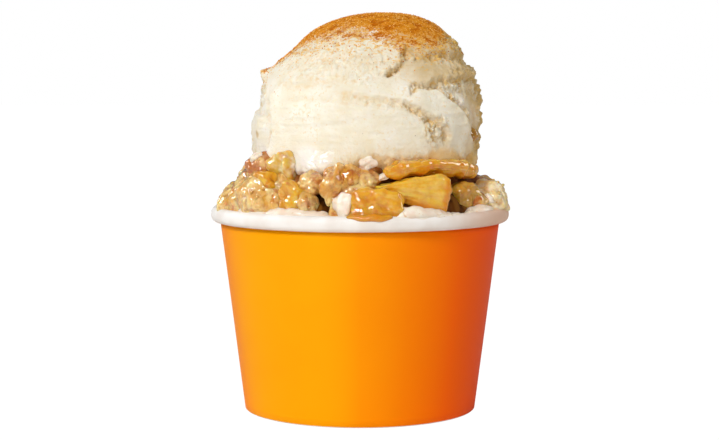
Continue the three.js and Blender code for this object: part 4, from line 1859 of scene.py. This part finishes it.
            # Painted shade along each line's groove and under its layer edge.
            pit_shade = np.maximum(pit_shade, 0.75 * line.shade(away, strength))
        foot = smooth_all((87 - height) / 8) * np.clip(0.5 + 1.1 * uneven_all(spots, 9, 21), 0, 1)
        torn = np.maximum(torn, 0.55 * foot)
        side = np.clip(level * 1.6, 0, 1)
        push += sum(tip.push(bearing, height + 0.4 * wander, self.radius) for tip in self.tips)
        melting = np.clip((84 - height) / 10, 0, 1)
        push += melting * (1.9 * uneven_all(spots, 6, 11) + 1.3 * uneven_all(spots, 2.6, 5) + 0.3)
        around = directions[:, :2] / np.maximum(level, 1e-6)[:, None]
        scrapes = np.column_stack([around * 2.9, height * 0.9 + 0.3 * rough])
        fine_scrapes = np.column_stack([around * 5.2, height * 2.6])
        scraped = 0.17 * uneven_all(scrapes, 1, 2) + 0.07 * uneven_all(fine_scrapes, 1, 4)
        flakes = np.stack([spots[:, 0] * 1.25, spots[:, 1] * 1.25, spots[:, 2] * 0.8], axis=1)
        large, small = crumble_all(flakes, 3.0, 4), crumble_all(flakes, 1.5, 6)
        crags = 1.2 * (large - 0.5) + 0.9 * (small - 0.4)
        # Painted shade deep in the torn pits.
        pit_shade = np.maximum(pit_shade, torn * np.clip(1 - 2.6 * np.minimum(large, small), 0, 1))
        soft = 0.7 * uneven_all(directions, 0.55, 2) + 0.35 * uneven_all(directions, 0.2, 7)
        offset = side * (push + (1 - torn) * scraped) + soft + torn * (crags + 0.6 * rough)
        offset += 0.05 * uneven_all(spots, 0.9, 3)
        places = directions * (radius + offset)[:, None]
        places[:, 0] += self.lean * np.maximum(0, places[:, 2] / self.rise) ** self.lean_curve
        return places + np.array(self.centre), np.clip(torn, 0, 1), pit_shade

    def _dusting(self, places: np.ndarray, bearing: np.ndarray) -> np.ndarray:
        """How much cinnamon lies at places.

        Args:
            places: The places in the cup's frame.
            bearing: Their bearings from the front, in degrees.

        Returns:
            From 0 to 1.
        """
        turns, heights = zip(*self.dust_edge)
        edge = np.interp(bearing, turns, heights) + 1.6 * uneven_all(places, 7, 12)
        thinned = self.thin_dust.share(bearing, places[:, 2], self.radius)
        return np.clip(0.5 + (places[:, 2] - edge) / self.dust_fade - thinned, 0, 1)

    def _milkiness_and_painted_light(self, places: np.ndarray, bearing: np.ndarray) -> np.ndarray:
        """How white and wet places are where the ice cream melts, partly painted light on the front ledge and
        on the tongue's bead.

        Args:
            places: The places in the cup's frame.
            bearing: Their bearings from the front, in degrees.

        Returns:
            From 0 to 1.
        """
        shares = np.max([patch.share(bearing, places[:, 2], self.radius) for patch in self.milky_and_painted_light], axis=0)
        return np.clip(shares * (0.9 + 1.2 * uneven_all(places, 5, 19)), 0, 1)

    def _painted_shade_and_melt_shares(self, places: np.ndarray, bearing: np.ndarray) -> np.ndarray:
        """How much painted shade, partly a thin brown melt, lies over places at the right and the back, with
        a thin brown melt along the foot and a tan dot.

        Args:
            places: The places in the cup's frame.
            bearing: Their bearings from the front, in degrees.

        Returns:
            From 0 to 1.
        """
        # Painted shade over the upper right, the right side and the back.
        upper = 0.8 * smooth_all((bearing - 8) / 24) * smooth_all((places[:, 2] - 103) / 4)
        right = np.maximum(smooth_all((bearing - 46) / 22), upper) * smooth_all((150 - bearing) / 60)
        back = 0.5 * smooth_all((np.abs(bearing) - 130) / 40)
        dot = self.tan_dot.share(bearing, places[:, 2], self.radius)
        foot = 0.3 * smooth_all((90 - places[:, 2]) / 12)
        return np.max([right, back, foot, dot], axis=0)

    def _staining(self, places: np.ndarray, bearing: np.ndarray) -> np.ndarray:
        """How much syrup has stained places near the foot.

        Args:
            places: The places in the cup's frame.
            bearing: Their bearings from the front, in degrees.

        Returns:
            From 0 to 1.
        """
        high = 85 + 3 * uneven_all(places, 7, 15) + 3 * smooth_all(1 - np.abs(bearing - 40) / 40)
        clean = self.clean_foot.share(bearing, places[:, 2], self.radius)
        return smooth_all((high - places[:, 2]) / 8) * (1 - clean)


@dataclass
class CinnamonGrains:
    """Loose grains of cinnamon sugar on the top of the scoop, with a few strays below.

    The strays' heights are in metres, as the finished scoop is.
    """

    count: int = 6400
    strays: int = 50
    stray_heights: tuple[float, float] = (0.098, 0.116)
    least_dust: float = 0.1
    smallest: float = 0.09
    largest: float = 0.2
    seed: int = 11

    def build(self, scoop: bpy.types.Object, finishes: Finishes) -> None:
        """Scatters the grains over the dusted surface.

        Args:
            scoop: The scoop that they lie on.
            finishes: The shared finishes.
        """
        chance = random.Random(self.seed)
        data = scoop.data
        dusted = data.attributes["dusted"].data
        faces = [face for face in data.polygons if dusted[face.vertices[0]].value > self.least_dust]
        weights = [dusted[polygon.vertices[0]].value ** 2 * polygon.area for polygon in faces]
        low, high = self.stray_heights
        lower = [polygon for polygon in data.polygons if low < polygon.center.z < high]
        chosen = chance.choices(faces, weights, k=self.count) + chance.choices(lower, k=self.strays)
        places = [self._place(polygon, data, chance) for polygon in chosen]
        grain = bmesh.new()
        bmesh.ops.create_cube(grain, size=1.5)
        mesh = joined(grain, places)
        finish_piece("cinnamon_sugar_grains", mesh, [finishes.cinnamon_sugar])

    def _place(self, polygon: bpy.types.MeshPolygon, data: bpy.types.Mesh, chance: random.Random) -> Matrix:
        """Picks a grain's place on a face.

        Args:
            polygon: The face.
            data: The mesh that it is in.
            chance: The source of chance.

        Returns:
            The grain's matrix, in millimetres.
        """
        shares = [chance.random() for _ in polygon.vertices]
        corners = [data.vertices[i].co * (share / sum(shares)) for i, share in zip(polygon.vertices, shares)]
        size = chance.uniform(self.smallest, self.largest)
        turn = any_turn(chance)
        width, height = chance.uniform(0.7, 1.2), chance.uniform(0.6, 1.0)
        stretch = Matrix.Diagonal((size, size * width, size * height, 1.0))
        spot = sum(corners, Vector()) / MM + polygon.normal * size * 0.3
        return Matrix.Translation(spot) @ turn @ stretch


@dataclass
class Crumbs:
    """Loose crumbs of crust on the heap."""

    count: int = 240
    smallest: float = 0.25
    largest: float = 0.8
    heights: tuple[float, float] = (67, 81)
    outermost: float = 46.5
    start_radius: float = 70.0
    aim_down: float = 0.25
    seed: int = 5

    def build(
        self, crusts: Sequence[bpy.types.Object], apples: Sequence[bpy.types.Object], finishes: Finishes,
    ) -> None:
        """Scatters the crumbs over the outside of the heap's crust.

        Args:
            crusts: What they may lie on.
            apples: What they don't lie on.
            finishes: The shared finishes.
        """
        chance = random.Random(self.seed)
        trees = [self._tree(piece) for piece in (*crusts, *apples)]
        places = []
        for _ in range(self.count):
            angle = chance.uniform(0, math.tau)
            outward = Vector((math.cos(angle), math.sin(angle), 0))
            start = (outward * self.start_radius + Vector((0, 0, chance.uniform(*self.heights)))) * MM
            aim = (Vector((0, 0, -self.aim_down)) - outward).normalized()
            casts = [tree.ray_cast(start, aim) for tree in trees]
            hits = [(i, hit) for i, hit in enumerate(casts) if hit[0] is not None]
            size = self.smallest + (self.largest - self.smallest) * chance.random() ** 2.4
            turn = any_turn(chance)
            width, height = chance.uniform(0.6, 1.0), chance.uniform(0.5, 0.9)
            flat = Matrix.Diagonal((size, size * width, size * height, 1.0))
            if not hits:
                continue
            i, (spot, normal, _, _) = min(hits, key=lambda entry: entry[1][3])
            if i < len(crusts) and from_axis(spot) / MM < self.outermost:
                places.append(Matrix.Translation(spot / MM + normal * size * 0.3) @ turn @ flat)
        crumb = bmesh.new()
        bmesh.ops.create_icosphere(crumb, subdivisions=3, radius=1.0)
        for vertex in crumb.verts:
            vertex.co *= 1 + 0.5 * uneven(vertex.co, 0.8, 3) + 0.3 * uneven(vertex.co, 0.35, 9)
        mesh = joined(crumb, places)
        keep_numbers(mesh, "crag", [clamp(0.6 + 0.6 * uneven(v.co, 0.9, 7)) for v in mesh.verts])
        keep_numbers(mesh, "syrupy", 0.4)
        keep_numbers(mesh, "creamy", 0.0)
        finish_piece("loose_crumbs", mesh, [finishes.crust])

    def _tree(self, piece: bpy.types.Object) -> BVHTree:
        """A search tree over a piece's faces."""
        corners = [v.co.copy() for v in piece.data.vertices]
        return BVHTree.FromPolygons(corners, [tuple(p.vertices) for p in piece.data.polygons])


@dataclass(frozen=True)
class CreamBit:
    """A small bit of ice cream lying on the heap."""

    place: Place
    length: float
    width: float
    thickness: float
    flare: float = 0.0
    squareness: float = 2.4

    def add_to(self, mesh: bmesh.types.BMesh, seed: float) -> None:
        """Adds the bit to a mesh.

        Args:
            mesh: The mesh.
            seed: Which uneven pattern the bit has.
        """
        made = bmesh.ops.create_icosphere(mesh, subdivisions=4, radius=1.0)
        half = Vector((self.length / 2, self.thickness / 2, self.width / 2))
        for vertex in made["verts"]:
            direction = vertex.co.copy()
            square = sum(abs(value) ** self.squareness for value in direction) ** (-1 / self.squareness)
            body = square + 0.36 * uneven(direction, 0.8, seed) + 0.12 * uneven(direction, 0.36, seed + 2)
            vertex.co = times(direction, half) * body
            vertex.co.x *= 1 + self.flare * direction.z
        bmesh.ops.transform(mesh, matrix=self.place.matrix(), verts=made["verts"])


@dataclass
class CreamBits:
    """The run of melted ice cream and the bits that lie about the heap."""

    run: CreamBit = CreamBit(Place(-96.8, 42.8, 67.4, roll=-6), 5.8, 8.6, 4, 0.4)
    bits: tuple[CreamBit, ...] = (
        CreamBit(Place(-86.5, 36.9, 80.4, roll=-20), 5.4, 3.8, 5),
        CreamBit(Place(-79, 38.6, 76.8, roll=-30), 4.2, 2.2, 4),
        CreamBit(Place(-144.6, 39.3, 81.4, roll=-34), 5.2, 3.0, 4),
        CreamBit(Place(-20, 43.4, 67.8, roll=16), 7.0, 4.0, 4),
    )

    def build(self, finishes: Finishes) -> None:
        """Builds the run and the bits.

        Args:
            finishes: The shared finishes.
        """
        mesh = bmesh.new()
        self.run.add_to(mesh, 40)
        finish_piece("cream_run", mesh, [finishes.melted_cream], ["cream_run_front"])
        mesh = bmesh.new()
        for i, bit in enumerate(self.bits):
            bit.add_to(mesh, 50 + 3 * i)
        finish_piece("cream_bits", mesh, [finishes.melted_cream])


@dataclass(frozen=True)
class LipRun:
    """Something wet that is draped over the rolled lip between two bearings from +X.

    Round the lip's section it goes from `inner_angle`, where 90 is the top, to `hang` degrees past the top.
    """

    name: str
    first_bearing: float
    last_bearing: float
    inner_angle: float
    hang: float
    thickness: float
    sunk: float = 0.1
    raggedness: float = 0.5
    squareness: float = 2.6
    cuts: int = 41

    def build(self, cup: PaperCup, seed: float, material: bpy.types.Material, slot: Slot) -> None:
        """Builds the run: a sheet with a round edge, bent over the lip.

        Args:
            cup: The cup that has the lip.
            seed: Which uneven pattern the run has.
            material: Its material.
            slot: Not used.
        """
        mesh = cut_cube(self.cuts)
        across, up = cup.lip_width / 2, cup.lip_height / 2
        middle = (self.first_bearing + self.last_bearing) / 2
        half_span = (self.last_bearing - self.first_bearing) / 2
        for vertex in mesh.verts:
            point = vertex.co
            point /= sum(abs(value) ** self.squareness for value in point) ** (1 / self.squareness)
            bearing = math.radians(middle + half_span * point.x)
            around = Vector((math.cos(bearing), math.sin(bearing), 0)) * cup.rim_radius
            end = 90 - self.hang * (1 + self.raggedness * 2 * uneven(around, 5, seed))
            angle = math.radians(self.inner_angle + (end - self.inner_angle) * (point.y + 1) / 2)
            thick = self.thickness * (0.65 + 0.35 * point.y) * (1 + 0.6 * uneven(around, 3, seed + 1))
            out = thick * point.z - self.sunk
            radius = cup.rim_radius - across + (across + out) * math.cos(angle)
            height = cup.height - up + (up + out) * math.sin(angle)
            point.x, point.y, point.z = radius * math.cos(bearing), radius * math.sin(bearing), height
        # Deeper amber like a piece's lower face: partly syrup colour, partly painted shade.
        for name, value in (("rim", 0.1), ("face", 0.8), ("tone", 0.5)):
            keep_numbers(mesh, name, value)
        bmesh.ops.recalc_face_normals(mesh, faces=mesh.faces)
        finish_piece(self.name, mesh, [material])


@dataclass
class FruitBit:
    """A small bit of browned fruit stuck to the scoop's right side."""

    place: Place = Place(-22, 38.2, 88.4)
    sizes: tuple[float, float, float] = (4.2, 3.4, 4.4)

    def build(self, finishes: Finishes) -> None:
        """Builds the bit.

        Args:
            finishes: The shared finishes.
        """
        mesh = bmesh.new()
        bmesh.ops.create_icosphere(mesh, subdivisions=4, radius=0.5)
        for vertex in mesh.verts:
            push = 1 + 0.3 * uneven(vertex.co, 0.5, 17)
            vertex.co = times(vertex.co, self.sizes) * push
        keep_numbers(mesh, "rim", 0.5)
        # Olive tint, partly painted shade.
        keep_numbers(mesh, "olive_and_painted_shade", 0.8)
        bmesh.ops.transform(mesh, matrix=self.place.matrix(), verts=mesh.verts)
        finish_piece("fruit_bit_on_scoop", mesh, [finishes.apple])


@dataclass(frozen=True)
class SoftBox:
    """One soft studio lamp that points at the cobbler."""

    name: str
    bearing: float
    elevation: float
    distance: float
    size: float
    power: float
    colour: tuple[float, float, float] = (1.0, 1.0, 1.0)
    mirrored: bool = True
    aim_height: float = 0.07

    def build(self) -> None:
        """Adds the lamp. Bearings go from the camera, and positive ones are to the right."""
        lamp = bpy.data.lights.new(self.name, "AREA")
        lamp.shape = "DISK"
        lamp.size = self.size
        lamp.energy = self.power
        lamp.color = self.colour
        lamp_object = put_in_scene(self.name, lamp)
        bearing, elevation = math.radians(self.bearing), math.radians(self.elevation)
        back = Vector((
            math.sin(bearing) * math.cos(elevation),
            -math.cos(bearing) * math.cos(elevation),
            math.sin(elevation),
        ))
        lamp_object.location = Vector((0, 0, self.aim_height)) + back * self.distance
        lamp_object.rotation_euler = (-back).to_track_quat("-Z", "Y").to_euler()
        lamp_object.visible_camera = False
        lamp_object.visible_glossy = self.mirrored


@dataclass
class Studio:
    """The floor, the light and the camera."""

    floor_radius: float = 6.0
    world_strength: float = 0.18
    white: Colour = (1.0, 1.0, 1.0, 1.0)
    camera_distance: float = 560.0
    camera_height: float = 106.5
    camera_sideways: float = -0.13
    camera_pitch: float = 4.7
    camera_lens: float = 87.32
    camera_sensor: float = 36.0
    lamps: tuple[SoftBox, ...] = (
        SoftBox("key_lamp", -33, 31, 1.1, 0.24, 5.65),
        SoftBox("high_sparkle_lamp", -16, 38, 1.1, 0.1, 0.9),
        SoftBox("low_sparkle_lamp", 4, 22, 1.1, 0.1, 0.8),
        SoftBox("top_lamp", -20, 70, 1.2, 0.6, 0.8, mirrored=False),
        SoftBox("fill_lamp", 22, 10, 1.6, 0.9, 3.7, (1.0, 0.88, 0.72), mirrored=False),
        SoftBox("right_edge_lamp", 102, 22, 1.2, 0.5, 3.0),
        SoftBox("left_edge_lamp", -110, 22, 1.2, 0.4, 4.1),
    )

    def build(self, finishes: Finishes) -> None:
        """Builds the studio.

        Args:
            finishes: The shared finishes.
        """
        self._build_floor(finishes)
        self._build_world()
        for lamp in self.lamps:
            lamp.build()
        self._build_camera()
        bpy.context.scene.view_settings.view_transform = "Standard"

    def _build_floor(self, finishes: Finishes) -> None:
        """Builds the floor."""
        mesh = bmesh.new()
        bmesh.ops.create_circle(mesh, cap_ends=True, segments=96, radius=self.floor_radius)
        data = bpy.data.meshes.new("floor")
        mesh.to_mesh(data)
        mesh.free()
        data.materials.append(finishes.floor)
        put_in_scene("floor", data)

    def _build_world(self) -> None:
        """Builds the white surroundings: full white behind the object, softer as a light."""
        graph = Graph(bpy.data.worlds.new("studio"), "ShaderNodeOutputWorld")
        light, seen = (
            graph.add("ShaderNodeBackground", {}, {"Color": self.white, "Strength": strength}, "Background")
            for strength in (self.world_strength, 1.0)
        )
        bpy.context.scene.world = graph.close(graph.seen_by_camera(1.0, light, seen))

    def _build_camera(self) -> None:
        """Builds the camera at the photograph's place and angle."""
        data = bpy.data.cameras.new("camera")
        data.sensor_width = self.camera_sensor
        data.lens = self.camera_lens
        camera = put_in_scene("camera", data)
        camera.location = Vector((self.camera_sideways, -self.camera_distance, self.camera_height)) * MM
        camera.rotation_euler = (math.radians(90 - self.camera_pitch), 0, 0)
        bpy.context.scene.camera = camera


def main() -> None:
    """Builds the cobbler and its studio in order."""
    logging.basicConfig(level=logging.INFO, format="%(message)s")
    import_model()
    finishes = Finishes()
    Studio().build(finishes)
    cup = PaperCup()
    cup.build(finishes)
    Filling().build(cup, finishes)
    SoakedCrumb().build(finishes)
    MeltedRing().build(finishes)
    apples = [apple.build(20 + 3 * i, finishes) for i, apple in enumerate(APPLES)]
    crusts = [crust.build(60 + 5 * i, finishes) for i, crust in enumerate(CRUSTS)]
    CreamBits().build(finishes)
    syrup_run = LipRun("syrup_over_lip", -95, -78, 120, 66, 1.7, 0.4, 0.3, 3.0)
    syrup_run.build(cup, 31, finishes.apple, Slot.APPLE)
    cream_run = LipRun("cream_over_lip", -80, -46, 160, 60, 0.9, 0.5, 0.4, 2.0)
    cream_run.build(cup, 35, finishes.melted_cream, Slot.MELTED)
    FruitBit().build(finishes)
    scoop = Scoop().build(finishes)
    CinnamonGrains().build(scoop, finishes)
    Crumbs().build(crusts, apples, finishes)


if __name__ == "__main__":
    main()
